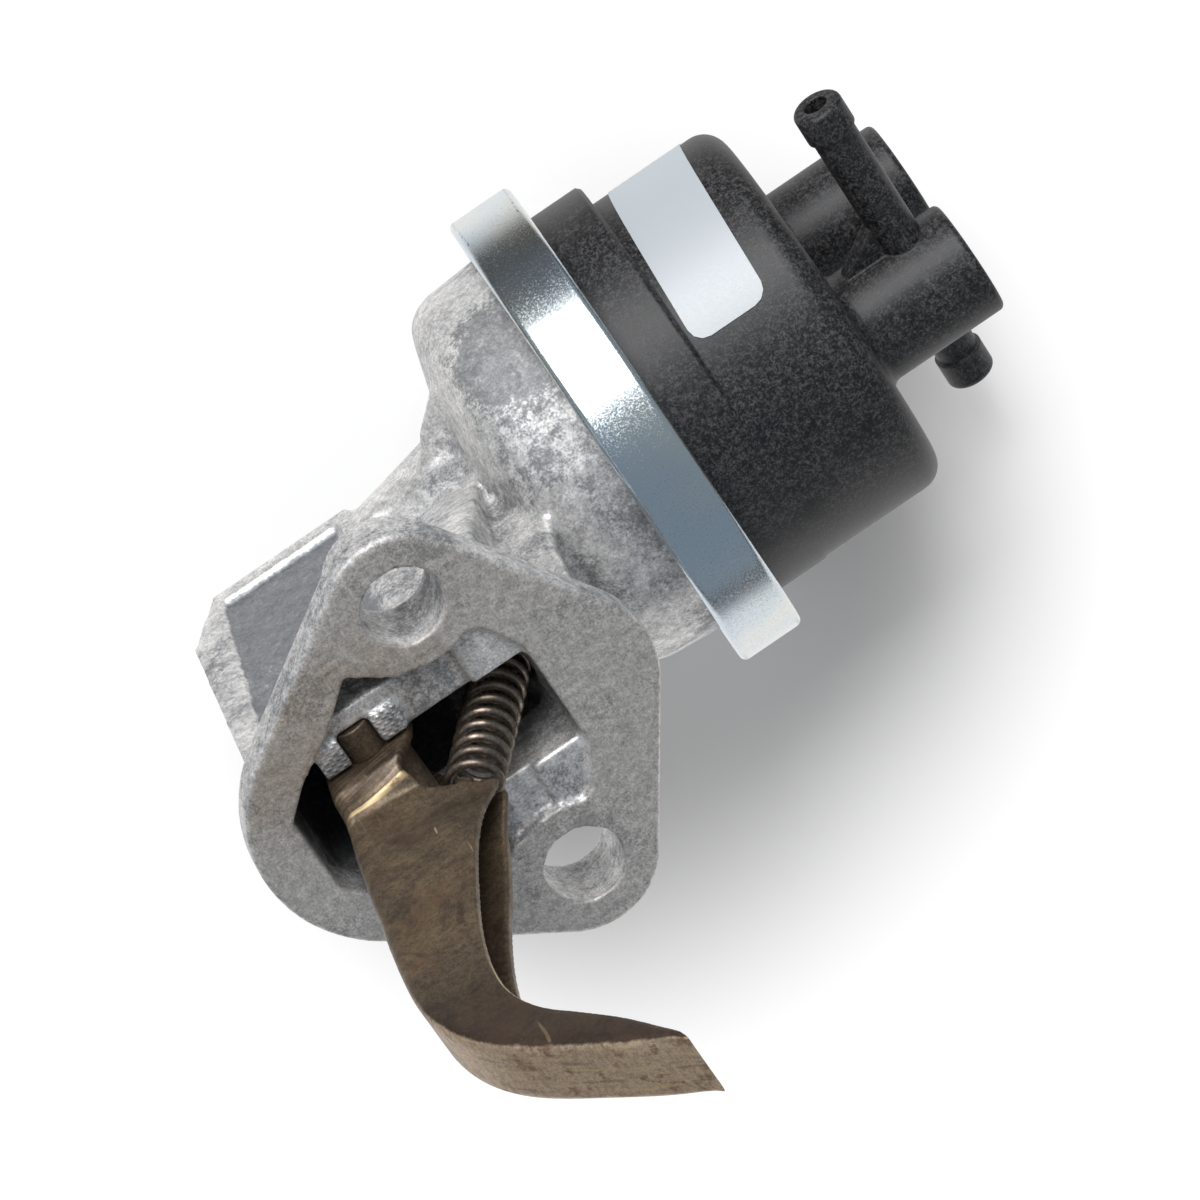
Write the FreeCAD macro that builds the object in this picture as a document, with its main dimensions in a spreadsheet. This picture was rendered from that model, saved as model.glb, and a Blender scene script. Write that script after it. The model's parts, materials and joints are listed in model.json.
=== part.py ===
import FreeCAD, Part
import math
import os
import re

import Sketcher

# Mechanical fuel pump of a car engine. The engine's cam pushes the rocker lever, which pulls a
# sprung diaphragm down. The diaphragm's spring then pushes the fuel out at low pressure.
#
# Frame, in millimetres: the origin is the middle of the two bolt holes on the flange's face,
# -Y points out of that face into the engine, and +Z runs up the pump's axis to the hose nipples.

# Every driving size: name, value, what it is.
SIZES = [
    ("pump_axis", 43.7, "flange face to the axis of diaphragm, ring and cover"),
    # flange
    ("flange_thickness", 9.8, "flange from face to the back of its bosses"),
    ("flange_plate", 4.6, "thickness of the flange's outer edge"),
    ("flange_step", 2.7, "how far the thick part stays inside that edge"),
    ("hole_offset", 22.5, "bolt hole from the middle plane, half of the bolt spacing"),
    ("hole_radius", 5.2, "bolt hole"),
    ("boss_radius", 9.7, "round end of the flange about each bolt hole"),
    ("flange_top_radius", 13.0, "rounding of the flange's top corner"),
    ("flange_top_centre", 9.4, "height of that rounding's centre"),
    ("flange_foot_radius", 20.3, "rounding of the flange's foot"),
    ("flange_foot_centre", 12.6, "depth of that rounding's centre below the bolt holes"),
    ("window_top", 9.0, "top of the opening that the lever comes out of"),
    ("window_top_half", 8.4, "half width of the opening's top edge"),
    ("window_side_half", 14.6, "half width of the opening beside the bolt holes"),
    ("window_corner_half", 18.8, "half width of the opening at its outer corners"),
    ("window_corner_drop", 10.8, "depth of those corners"),
    ("window_slope_half", 13.4, "half width where the opening's sides turn down"),
    ("window_slope_drop", 16.5, "depth of that turn"),
    ("window_foot_half", 5.9, "half width of the opening's foot"),
    ("window_foot", 25.8, "depth of the opening's foot"),
    # rocker chamber
    ("chamber_front_half", 12.8, "half width of the chamber at the flange"),
    ("chamber_back_half", 8.9, "half width of the chamber at its back wall"),
    ("chamber_back", 50.5, "flange face to the outside of the back wall"),
    ("chamber_foot", 27.0, "depth of the chamber's underside at the flange"),
    ("chamber_back_foot", 25.4, "depth of the chamber's underside at the back wall"),
    ("chamber_front_top", 12.0, "height of the chamber's roof at the flange"),
    ("chamber_back_top", 0.4, "depth of the chamber's roof at the back wall"),
    ("chamber_wall", 2.0, "wall of the chamber"),
    ("chamber_chamfer_run", 9.5, "length of the slope under the back wall"),
    ("chamber_chamfer_rise", 4.8, "height of the slope under the back wall"),
    ("cavity_front_top", 9.0, "height of the hollow's roof at the flange"),
    ("cavity_back_top", 3.2, "depth of the hollow's roof at the back wall"),
    ("block_half", 8.6, "half width of the block between flange and bowl"),
    ("panel_depth", 1.0, "depth of the recessed panel on each side of the chamber"),
    ("panel_border", 2.5, "border round that panel"),
    ("panel_front", 12.8, "flange face to that panel's front end"),
    ("casting_edge", 0.8, "rounded edge of the flange"),
    # lugs that hold the pin
    ("lug_gap_half", 7.2, "half of the gap between the two lugs"),
    ("lug_face", 2.0, "flange face to the front of the lugs"),
    ("lug_back", 13.0, "flange face to the back of the lugs"),
    ("lug_foot", 18.2, "depth of the lugs' lower end"),
    ("lug_step", 1.6, "height above which the lugs stand further forward"),
    ("lug_step_face", 1.0, "flange face to that upper part"),
    ("lip_inner", 2.3, "staked lip, nearest distance to the pin's axis"),
    ("lip_outer", 5.9, "staked lip, furthest distance to the pin's axis"),
    ("lip_width", 4.2, "staked lip, along the pin"),
    ("lip_face", 1.2, "flange face to the front of the staked lips"),
    ("pin_radius", 2.75, "pivot pin"),
    ("pin_half_length", 11.2, "half length of the pivot pin"),
    ("pin_set_back", 4.2, "flange face to the pin's axis"),
    ("pin_drop", 13.6, "bolt holes down to the pin's axis"),
    ("seat_clearance", 0.05, "radial clearance of a pin or disc in its seat"),
    # bowl and neck
    ("bowl_radius", 27.8, "outside of the bowl under the ring"),
    ("bowl_foot_radius", 27.2, "outside of the bowl above its lower corner"),
    ("bowl_corner_height", 21.2, "height of the bowl's lower corner"),
    ("bowl_under_radius", 24.4, "bowl's underside, outer edge of the cone"),
    ("bowl_under_height", 18.6, "height there"),
    ("neck_top_radius", 13.4, "neck where it meets the bowl"),
    ("neck_top_height", 15.4, "height there"),
    ("neck_middle_radius", 12.4, "neck above the chamber"),
    ("neck_middle_height", 11.0, "height there"),
    ("neck_foot_radius", 9.9, "neck at the chamber"),
    ("bowl_wall", 2.8, "wall of the bowl"),
    ("bowl_floor", 20.4, "height of the bowl's floor inside"),
    ("rim_radius", 31.8, "outer edge of the two rims and the diaphragm"),
    ("rim_low", 31.0, "underside of the bowl's rim"),
    ("rim_high", 34.0, "top of the bowl's rim"),
    ("rib_half_outer", 22.6, "outer side of the outer ribs at the flange, from the middle plane"),
    ("rib_half_inner", 8.9, "inner ribs behind the flange, from the middle plane"),
    ("rib_thickness", 2.2, "thickness of those ribs"),
    ("shoulder_front_half", 21.5, "half width of the shoulder above the bolt holes"),
    ("shoulder_front_low", 6.4, "height of its underside at the flange"),
    ("shoulder_front_high", 10.2, "height of its top at the flange"),
    ("shoulder_back", 36.0, "flange face to where the shoulder meets the neck"),
    ("shoulder_back_half", 10.5, "half width of the shoulder at the neck"),
    ("rib_back", 18.0, "flange face to the back end of the outer ribs"),
    ("side_rib_reach", 11.1, "upright ribs beside the neck, from the middle plane"),
    ("side_rib_thickness", 2.4, "thickness of those ribs"),
    # crimped ring
    ("ring_radius", 33.0, "outside of the crimped ring"),
    ("ring_wall", 1.0, "sheet of the crimped ring"),
    ("ring_low", 30.0, "underside of the ring"),
    ("ring_high", 39.0, "top of the ring"),
    ("ring_lip_radius", 28.4, "inner edge of both turned-in lips"),
    ("ring_corner", 0.9, "outer rounding of the ring's bends"),
    # diaphragm and its plates
    ("diaphragm_thickness", 0.8, "rubber sheet"),
    ("plate_radius", 17.5, "diaphragm plates"),
    ("plate_thickness", 1.0, "diaphragm plates"),
    ("rod_radius", 2.0, "pull rod"),
    ("rod_foot", 14.4, "depth of the pull rod's lower end"),
    ("rod_head_radius", 3.4, "riveted head of the pull rod"),
    ("rod_head_height", 1.2, "riveted head of the pull rod"),
    ("collar_radius", 4.2, "collar at the rod's lower end"),
    ("collar_thickness", 1.5, "collar at the rod's lower end"),
    ("collar_drop", 11.5, "depth of the collar's upper face"),
    ("seal_radius", 6.0, "rod seal"),
    ("seal_low", 14.0, "height of the rod seal's underside"),
    ("seal_high", 18.8, "height of the rod seal's top"),
    ("retainer_radius", 6.0, "washer over the rod seal"),
    ("bore_clearance", 0.6, "radial gap between pull rod and neck"),
    ("seal_grip", 0.05, "radial running clearance of the rod in its seal"),
    # springs
    ("pump_spring_radius", 12.0, "diaphragm spring, middle of the wire"),
    ("pump_spring_wire", 0.9, "diaphragm spring, radius of the wire"),
    ("pump_spring_pitch", 3.4, "diaphragm spring, rise of one turn"),
    ("lever_spring_radius", 3.15, "lever spring, middle of the wire"),
    ("lever_spring_wire", 0.58, "lever spring, radius of the wire"),
    ("lever_spring_pitch", 2.35, "lever spring, rise of one turn"),
    ("lever_spring_length", 32.9, "lever spring, overall"),
    ("lever_spring_slope", 29.2, "lever spring, angle above the flange's normal"),
    ("spring_seat_out", 7.5, "flange face to the lever's spring seat"),
    ("spring_seat_drop", 6.0, "bolt holes down to that seat"),
    ("spring_pocket_radius", 4.3, "pocket for the spring's inner end"),
    ("valve_spring_radius", 2.8, "valve springs, middle of the wire"),
    ("valve_spring_wire", 0.25, "valve springs, radius of the wire"),
    # cover
    ("cover_rim_high", 38.0, "top of the cover's rim"),
    ("band_radius", 28.0, "low band of the cover above the ring"),
    ("band_high", 46.4, "top of that band"),
    ("dome_radius", 26.4, "tall part of the cover"),
    ("dome_shift_right", 0.7, "tall part, offset along X"),
    ("dome_shift_front", 1.45, "tall part, offset towards the flange"),
    ("dome_high", 64.5, "deck of the cover"),
    ("dome_corner", 3.4, "rounding of the deck's edge"),
    ("cover_room_radius", 22.9, "hollow of the cover"),
    ("cover_room_high", 61.6, "roof of the hollow"),
    ("plate_ledge", 43.2, "height of the ledge that the valve plate bears on"),
    ("divider_thickness", 2.0, "wall between inlet and outlet side"),
    ("tower_radius", 7.7, "towers that carry the hose nipples"),
    ("tower_high", 81.6, "top of the towers"),
    ("tower_front", 13.1, "inlet tower, from the pump's axis towards the flange"),
    ("tower_rear", 12.2, "outlet tower, from the pump's axis away from the flange"),
    ("tower_corner", 0.8, "rounding of the towers' top edge"),
    ("tower_root", 1.4, "rounding between towers and deck"),
    ("tower_bore", 4.4, "passage inside each tower"),
    ("tower_bore_head", 0.8, "that passage above the nipple's bore"),
    ("nipple_high", 75.3, "height of both nipples"),
    ("nipple_radius", 2.85, "hose nipple"),
    ("nipple_bead_radius", 3.25, "bead that holds the hose"),
    ("nipple_bead_length", 4.2, "bead that holds the hose"),
    ("nipple_reach", 30.2, "nipple's end from the middle plane"),
    ("nipple_bore", 1.6, "bore of the nipple"),
    ("nipple_web", 2.4, "thickness of the web under each nipple"),
    # valves
    ("valve_plate_radius", 24.2, "plate that carries both valves"),
    ("valve_plate_low", 40.2, "underside of the valve plate"),
    ("valve_disc_radius", 5.0, "valve discs"),
    ("valve_disc_thickness", 0.9, "valve discs"),
    ("valve_port_radius", 0.9, "holes that a valve disc covers"),
    ("valve_port_circle", 2.9, "circle of those holes"),
    ("cage_radius", 6.9, "valve cages"),
    ("cage_wall", 0.7, "valve cages"),
    ("cage_height", 2.9, "valve cages"),
    ("filter_thickness", 0.9, "fuel strainer in the inlet side"),
    ("filter_radius", 7.0, "fuel strainer in the inlet side"),
    # label
    ("label_thickness", 0.12, "sticker on the cover"),
    ("label_height", 10.8, "sticker, across the band"),
    ("label_corner", 2.2, "sticker's rounded corners"),
    ("label_middle_height", 53.6, "height of the sticker's middle"),
    ("label_tilt", 3.3, "tilt of the sticker"),
    ("label_start_angle", 40.5, "sticker's near end, from the flange side towards -X"),
    ("label_end_angle", 139.0, "sticker's far end, likewise"),
    # lever
    ("lever_sheet", 1.5, "sheet of the rocker lever"),
    ("lever_web_half", 5.0, "half width of the lever's web"),
    ("lever_root_half", 6.85, "half width of the lever's ears"),
    ("lever_bend", 1.3, "size of the bend between web and cheek"),
    ("seat_nose", 1.2, "nose that keeps the lever spring on its seat"),
    ("seat_nose_half", 0.8, "half width of that nose"),
    # link arm
    ("link_half", 4.5, "half width of the link arm's hub"),
    ("link_arm_half", 4.2, "half width of the link arm"),
    ("link_hub_radius", 4.6, "hub round the pin"),
    ("link_plate", 2.4, "height of the link arm's end"),
    ("link_gap", 0.35, "gap between the link arm's end and the rod's collar"),
    ("link_reach", 47.4, "link arm's end from the flange face"),
    ("fork_half", 2.5, "half width of the slot for the rod"),
]
VALUES = {name: value for name, value, note in SIZES}

# Side view of the rocker lever from the ears to the tip, as (Y, Z) on the outside of the web, then
# (Y, Z) on the free edge, then the half width at the free edge. The cheeks lean together
# towards the spring seat and stand apart again towards the pad that the cam touches.
LEVER_STATIONS = [
    (-4.5, -20.6, -4.5, -0.6, 1.3),
    (-10.0, -21.4, -9.4, -1.6, 1.3),
    (-15.5, -22.0, -14.7, -4.7, 3.1),
    (-20.0, -22.4, -19.3, -6.6, 4.4),
    (-29.0, -23.2, -28.3, -9.8, 4.8),
    (-39.5, -23.9, -38.6, -12.8, 4.6),
    (-48.5, -23.6, -47.3, -14.0, 4.5),
    (-55.8, -21.6, -53.8, -13.5, 4.4),
    (-62.2, -18.0, -58.9, -11.7, 4.4),
    (-68.0, -13.1, -63.6, -8.9, 4.5),
    (-73.0, -8.4, -68.3, -5.7, 4.6),
    (-78.0, -3.3, -73.6, -2.5, 4.7),
    (-83.0, 1.3, -79.8, 0.7, 4.7),
]

doc = FreeCAD.newDocument("FuelPump")
sheet = doc.addObject("Spreadsheet::Sheet", "Dims")
for row, (name, value, note) in enumerate(SIZES, start=1):
    sheet.set(f"A{row}", name.replace("_", " "))
    sheet.set(f"B{row}", str(value))
    sheet.setAlias(f"B{row}", name)
    sheet.set(f"C{row}", note)
doc.recompute()

PARTS = []


def size(text):
    """Numeric value of a named size, which may carry a minus sign, or of a plain number."""
    name = text.strip().lstrip("-")
    value = VALUES[name] if name in VALUES else float(name)
    return -value if text.strip().startswith("-") else value


def cells(text):
    """Formula in which each named size points at its cell of the sheet."""
    return re.sub(r"[a-z][a-z_]+", lambda word: "Dims." + word.group(0), text)


def bind(thing, **formulas):
    """Bind properties to formulas; a double underscore in a name stands for a dot."""
    for name, text in formulas.items():
        thing.setExpression(name.replace("__", "."), cells(text))


def new_body(label, **placement):
    """Body that becomes one sub-part, placed by formulas for x, y and z."""
    body = doc.addObject("PartDesign::Body", "Body_" + label)
    body.Label = label
    for axis, text in placement.items():
        body.setExpression("Placement.Base." + axis, cells(text))
    PARTS.append(body)
    return body


def new_sketch(body, plane, offset="0"):
    """Sketch on an origin plane of the body, moved along the plane's normal."""
    sketch = body.newObject("Sketcher::SketchObject", "Sketch")
    origin = [item for item in body.Origin.OriginFeatures if item.Role == plane][0]
    sketch.AttachmentSupport = [(origin, "")]
    sketch.MapMode = "FlatFace"
    if offset != "0":
        sketch.setExpression("AttachmentOffset.Base.z", cells(offset))
    return sketch


def hold(sketch, kind, refs, start, text):
    """Dimension of a sketch, bound to a formula."""
    index = sketch.addConstraint(Sketcher.Constraint(kind, *refs, start))
    sketch.setExpression(f"Constraints[{index}]", cells(text))


def draw_polygon(sketch, points):
    """Closed outline through points given as two formulas each."""
    first = sketch.GeometryCount
    count = len(points)
    start = [
        FreeCAD.Vector(10 * math.cos(2 * math.pi * i / count), 10 * math.sin(2 * math.pi * i / count), 0)
        for i in range(count)
    ]
    lines = [Part.LineSegment(start[i], start[(i + 1) % count]) for i in range(count)]
    sketch.addGeometry(lines, False)
    for i in range(count):
        follower = first + (i + 1) % count
        sketch.addConstraint(Sketcher.Constraint("Coincident", first + i, 2, follower, 1))
    for i, (across, up) in enumerate(points):
        hold(sketch, "DistanceX", (-1, 1, first + i, 1), start[i].x, across)
        hold(sketch, "DistanceY", (-1, 1, first + i, 1), start[i].y, up)


def draw_circle(sketch, across, up, radius):
    """Circle whose centre and radius are formulas."""
    circle = Part.Circle(FreeCAD.Vector(1, 1, 0), FreeCAD.Vector(0, 0, 1), 1)
    index = sketch.addGeometry(circle, False)
    hold(sketch, "DistanceX", (-1, 1, index, 3), 1, across)
    hold(sketch, "DistanceY", (-1, 1, index, 3), 1, up)
    hold(sketch, "Radius", (index,), 1, radius)


def draw_hull(sketch, circles, inset="0"):
    """Outline of a belt round circles listed anticlockwise, drawn inwards by the inset."""
    discs = [(size(across), size(up), size(radius) - size(inset)) for across, up, radius in circles]
    count = len(discs)
    normals = []
    for i in range(count):
        (ax, ay, ar), (bx, by, br) = discs[i], discs[(i + 1) % count]
        length = math.hypot(bx - ax, by - ay)
        along = ((bx - ax) / length, (by - ay) / length)
        lean = (ar - br) / length
        side = math.sqrt(1 - lean * lean)
        normals.append((along[0] * lean + along[1] * side, along[1] * lean - along[0] * side))
    up_axis = FreeCAD.Vector(0, 0, 1)
    arcs = []
    for i, (x, y, radius) in enumerate(discs):
        begin = math.atan2(normals[i - 1][1], normals[i - 1][0])
        end = math.atan2(normals[i][1], normals[i][0])
        circle = Part.Circle(FreeCAD.Vector(x, y, 0), up_axis, radius)
        arcs.append(sketch.addGeometry(Part.ArcOfCircle(circle, begin, end), False))
    lines = []
    for i in range(count):
        (ax, ay, ar), (bx, by, br) = discs[i], discs[(i + 1) % count]
        nx, ny = normals[i]
        begin = FreeCAD.Vector(ax + ar * nx, ay + ar * ny, 0)
        end = FreeCAD.Vector(bx + br * nx, by + br * ny, 0)
        lines.append(sketch.addGeometry(Part.LineSegment(begin, end), False))
    for i in range(count):
        sketch.addConstraint(Sketcher.Constraint("Tangent", arcs[i], 2, lines[i], 1))
        sketch.addConstraint(Sketcher.Constraint("Tangent", lines[i], 2, arcs[(i + 1) % count], 1))
    for arc, (across, up, radius) in zip(arcs, circles):
        hold(sketch, "DistanceX", (-1, 1, arc, 3), size(across), across)
        hold(sketch, "DistanceY", (-1, 1, arc, 3), size(up), up)
        hold(sketch, "Radius", (arc,), size(radius) - size(inset), f"{radius} - {inset}")


def extrude(body, sketch, length, cut=False, reverse=False, midplane=False):
    """Pad, or Pocket where cut is set, of one sketch."""
    feature = body.newObject("PartDesign::Pocket" if cut else "PartDesign::Pad", "Extrusion")
    feature.Profile = sketch
    bind(feature, Length=length)
    feature.Reversed = reverse
    if midplane:
        feature.Midplane = True
    doc.recompute()
    return feature


def revolve(body, points, cut=False):
    """Revolution, or Groove where cut is set, of an outline about the body's own Z axis."""
    sketch = new_sketch(body, "XZ_Plane")
    draw_polygon(sketch, points)
    feature = body.newObject("PartDesign::Groove" if cut else "PartDesign::Revolution", "Turned")
    feature.Profile = sketch
    feature.ReferenceAxis = (sketch, ["V_Axis"])
    feature.Angle = 360
    doc.recompute()
    return feature


def loft(body, first, last, cut=False):
    """Loft between two rectangles parallel to the flange, each (distance, left, right, low, high)."""
    sketches = []
    for distance, left, right, low, high in (first, last):
        sketch = new_sketch(body, "XZ_Plane", f"-({distance})")
        draw_polygon(sketch, [(left, low), (right, low), (right, high), (left, high)])
        sketches.append(sketch)
    feature = body.newObject("PartDesign::SubtractiveLoft" if cut else "PartDesign::AdditiveLoft", "Loft")
    feature.Profile = sketches[0]
    feature.Sections = [sketches[1]]
    doc.recompute()
    return feature


def round_edges(body, radius, wanted):
    """Fillet every edge of the body's present shape that the test picks."""
    tip = body.Tip
    names = [f"Edge{i}" for i, edge in enumerate(tip.Shape.Edges, start=1) if wanted(edge)]
    if not names:
        raise RuntimeError("no edge found to round on " + body.Label)
    feature = body.newObject("PartDesign::Fillet", "Rounding")
    feature.Base = (tip, names)
    bind(feature, Radius=radius)
    doc.recompute()
    return feature


def ring_edge(edge, radius, height):
    """True for a full circle of this radius at this height in the body's own frame."""
    curve = edge.Curve
    if not isinstance(curve, Part.Circle) or edge.Length < 6 * radius:
        return False
    return abs(curve.Radius - radius) < 0.01 and abs(curve.Center.z - height) < 0.01


def turned_part(label, points, **placement):
    """Sub-part that is one turned shape."""
    body = new_body(label, **placement)
    revolve(body, points)
    return body


def coil_spring(label, radius, wire, pitch, rise, face_turns=1, **placement):
    """Coil spring about its own Z axis; rise is the height between the wire's two ends.

    The wire's surface has one face for each run of face_turns turns, or a single one at 0.
    """
    helix = doc.addObject("Part::Helix", "Helix_" + label)
    bind(helix, Radius=radius, Pitch=pitch, Height=rise)
    helix.SegmentLength = face_turns
    section = doc.addObject("Part::Circle", "Wire_" + label)
    bind(section, Radius=wire, Placement__Base__x=radius)
    section.Placement.Rotation = FreeCAD.Rotation(FreeCAD.Vector(1, 0, 0), 90)
    doc.recompute()
    sweep = doc.addObject("Part::Sweep", "Spring_" + label)
    sweep.Sections = [section]
    sweep.Spine = (helix, [f"Edge{i}" for i in range(1, len(helix.Shape.Edges) + 1)])
    sweep.Solid = True
    sweep.Frenet = True
    sweep.Label = label
    for axis, text in placement.items():
        sweep.setExpression("Placement.Base." + axis, cells(text))
    PARTS.append(sweep)
    return sweep


def build_housing():
    """Cast lower housing: flange, rocker chamber, neck, bowl and the two lugs for the pin."""
    body = new_body("lower_housing")
    sketch = new_sketch(body, "XZ_Plane")
    draw_hull(sketch, [
        ("hole_offset", "0", "boss_radius"),
        ("0", "flange_top_centre", "flange_top_radius"),
        ("-hole_offset", "0", "boss_radius"),
        ("0", "-flange_foot_centre", "flange_foot_radius"),
    ])
    extrude(body, sketch, "flange_plate", reverse=True)
    round_edges(body, "casting_edge", lambda edge: edge.BoundBox.YLength < 0.01)
    sketch = new_sketch(body, "XZ_Plane", "-1")
    draw_hull(sketch, [
        ("hole_offset", "0", "boss_radius"),
        ("-hole_offset", "0", "boss_radius"),
        ("0", "-flange_foot_centre", "flange_foot_radius"),
    ], inset="flange_step")
    extrude(body, sketch, "flange_thickness - 1", reverse=True)

    # rocker chamber, narrower and lower towards its back wall
    loft(
        body,
        ("flange_plate - 1", "-chamber_front_half", "chamber_front_half",
         "-chamber_foot", "chamber_front_top"),
        ("chamber_back", "-chamber_back_half", "chamber_back_half",
         "-chamber_back_foot", "-chamber_back_top"),
    )
    sketch = new_sketch(body, "YZ_Plane")
    draw_polygon(sketch, [
        ("chamber_back - chamber_chamfer_run", "-chamber_foot - 2"),
        ("chamber_back + 2", "-chamber_foot - 2"),
        ("chamber_back + 2", "-chamber_back_foot + chamber_chamfer_rise + 1"),
        ("chamber_back", "-chamber_back_foot + chamber_chamfer_rise"),
        ("chamber_back - chamber_chamfer_run", "-chamber_back_foot - 0.3"),
    ])
    extrude(body, sketch, "4 * chamber_front_half", cut=True, midplane=True)

    # block between flange and bowl, which holds the lever spring's pocket
    sketch = new_sketch(body, "YZ_Plane")
    draw_polygon(sketch, [
        ("flange_plate - 1", "-chamber_back_top"),
        ("pump_axis", "-chamber_back_top"),
        ("pump_axis", "bowl_under_height"),
        ("pump_axis - bowl_under_radius - 2", "bowl_under_height"),
        ("flange_plate - 1", "bowl_under_height - 1"),
    ])
    extrude(body, sketch, "2 * block_half", midplane=True)

    # neck and bowl, turned about the pump's axis
    sketch = new_sketch(body, "XZ_Plane", "-pump_axis")
    draw_polygon(sketch, [
        ("0", "-chamber_back_top - 4"),
        ("neck_foot_radius", "-chamber_back_top - 4"),
        ("neck_foot_radius", "-chamber_back_top"),
        ("neck_middle_radius", "neck_middle_height"),
        ("neck_top_radius", "neck_top_height"),
        ("bowl_under_radius - 1.4", "bowl_under_height - 0.4"),
        ("bowl_under_radius + 0.8", "bowl_under_height + 0.5"),
        ("bowl_foot_radius - 0.6", "bowl_corner_height - 0.2"),
        ("bowl_foot_radius", "bowl_corner_height + 1.8"),
        ("bowl_radius", "rim_low"),
        ("rim_radius", "rim_low"),
        ("rim_radius", "rim_high"),
        ("0", "rim_high"),
    ])
    bowl = body.newObject("PartDesign::Revolution", "Bowl")
    bowl.Profile = sketch
    bowl.ReferenceAxis = (sketch, ["V_Axis"])
    bowl.Angle = 360
    doc.recompute()

    # shoulder above the bolt holes, from the flange to the neck
    loft(
        body,
        ("flange_plate - 1", "-shoulder_front_half", "shoulder_front_half",
         "shoulder_front_low", "shoulder_front_high"),
        ("shoulder_back", "-shoulder_back_half", "shoulder_back_half",
         "shoulder_front_low", "neck_top_height"),
    )

    # ribs between the flange's back, the shoulder and the bowl
    for side in ("", "-"):
        loft(
            body,
            ("flange_plate - 1", f"{side}(rib_half_outer - rib_thickness)", f"{side}rib_half_outer",
             "shoulder_front_low", "shoulder_front_high + 1"),
            ("rib_back", f"{side}(rib_half_outer - rib_thickness - 5)", f"{side}(rib_half_outer - 5)",
             "shoulder_front_low", "shoulder_front_high + 2.2"),
        )
        sketch = new_sketch(body, "YZ_Plane", f"{side}rib_half_inner")
        draw_polygon(sketch, [
            ("flange_plate - 1", "shoulder_front_high"),
            ("flange_plate - 1", "bowl_under_height - 0.4"),
            ("flange_thickness + 4.4", "bowl_under_height + 0.4"),
            ("pump_axis - bowl_under_radius + 1", "bowl_corner_height - 0.6"),
            ("pump_axis - 18", "bowl_corner_height - 0.6"),
            ("pump_axis - 18", "shoulder_front_high"),
        ])
        extrude(body, sketch, "rib_thickness", midplane=True)

    # upright rib on each side of the neck, which curves out under the bowl
    for side in ("", "-"):
        sketch = new_sketch(body, "XZ_Plane", "-(pump_axis - 1.2)")
        draw_polygon(sketch, [
            ("0", "-chamber_back_top - 1"),
            (side + "(side_rib_reach - 1.9)", "-chamber_back_top - 1"),
            (side + "side_rib_reach", "-chamber_back_top + 1.6"),
            (side + "side_rib_reach", "neck_middle_height - 4.6"),
            (side + "(side_rib_reach + 0.6)", "neck_middle_height - 2.2"),
            (side + "(side_rib_reach + 2.1)", "neck_middle_height"),
            (side + "(side_rib_reach + 5)", "neck_middle_height + 1.6"),
            (side + "(bowl_under_radius - 2)", "bowl_under_height"),
            ("0", "bowl_under_height"),
        ])
        extrude(body, sketch, "side_rib_thickness", midplane=True)

    # hollow of the bowl, seat of the rod seal and bore of the neck
    sketch = new_sketch(body, "XZ_Plane", "-pump_axis")
    draw_polygon(sketch, [
        ("0", "-chamber_back_top - 8"),
        ("rod_radius + bore_clearance", "-chamber_back_top - 8"),
        ("rod_radius + bore_clearance", "seal_low"),
        ("seal_radius", "seal_low"),
        ("seal_radius", "bowl_floor"),
        ("bowl_foot_radius - bowl_wall - 1.5", "bowl_floor"),
        ("bowl_foot_radius - bowl_wall", "bowl_floor + 1.5"),
        ("bowl_radius - bowl_wall", "rim_high + 1"),
        ("0", "rim_high + 1"),
    ])
    hollow = body.newObject("PartDesign::Groove", "BowlHollow")
    hollow.Profile = sketch
    hollow.ReferenceAxis = (sketch, ["V_Axis"])
    hollow.Angle = 360
    doc.recompute()

    # hollow of the rocker chamber
    loft(
        body,
        ("flange_thickness - chamber_wall - 1", "-(chamber_front_half - chamber_wall)",
         "chamber_front_half - chamber_wall", "-window_foot", "cavity_front_top"),
        ("chamber_back - chamber_wall", "-(chamber_back_half - chamber_wall)",
         "chamber_back_half - chamber_wall",
         "-chamber_back_foot + chamber_wall + chamber_chamfer_rise / 2", "-cavity_back_top"),
        cut=True,
    )

    # opening in the flange
    sketch = new_sketch(body, "XZ_Plane")
    draw_polygon(sketch, [
        ("-window_top_half", "window_top"),
        ("-(window_side_half - 1)", "window_top - 2.6"),
        ("-window_side_half", "window_top - 4.2"),
        ("-window_side_half", "-window_corner_drop / 2"),
        ("-window_corner_half", "-window_corner_drop"),
        ("-window_slope_half", "-window_slope_drop"),
        ("-(window_foot_half + 3.4)", "-(window_foot - 3.2)"),
        ("-window_foot_half", "-window_foot"),
        ("window_foot_half", "-window_foot"),
        ("window_foot_half + 3.4", "-(window_foot - 3.2)"),
        ("window_slope_half", "-window_slope_drop"),
        ("window_corner_half", "-window_corner_drop"),
        ("window_side_half", "-window_corner_drop / 2"),
        ("window_side_half", "window_top - 4.2"),
        ("window_side_half - 1", "window_top - 2.6"),
        ("window_top_half", "window_top"),
    ])
    extrude(body, sketch, "flange_thickness - chamber_wall", cut=True)

    # bosses round the bolt holes stand into the opening
    sketch = new_sketch(body, "XZ_Plane")
    for side in ("", "-"):
        draw_circle(sketch, side + "hole_offset", "0", "boss_radius - casting_edge")
    extrude(body, sketch, "flange_plate - casting_edge", reverse=True)
    sketch = new_sketch(body, "XZ_Plane")
    for side in ("", "-"):
        draw_circle(sketch, side + "hole_offset", "0", "boss_radius - flange_step + 0.6")
    extrude(body, sketch, "flange_thickness", reverse=True)

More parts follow.
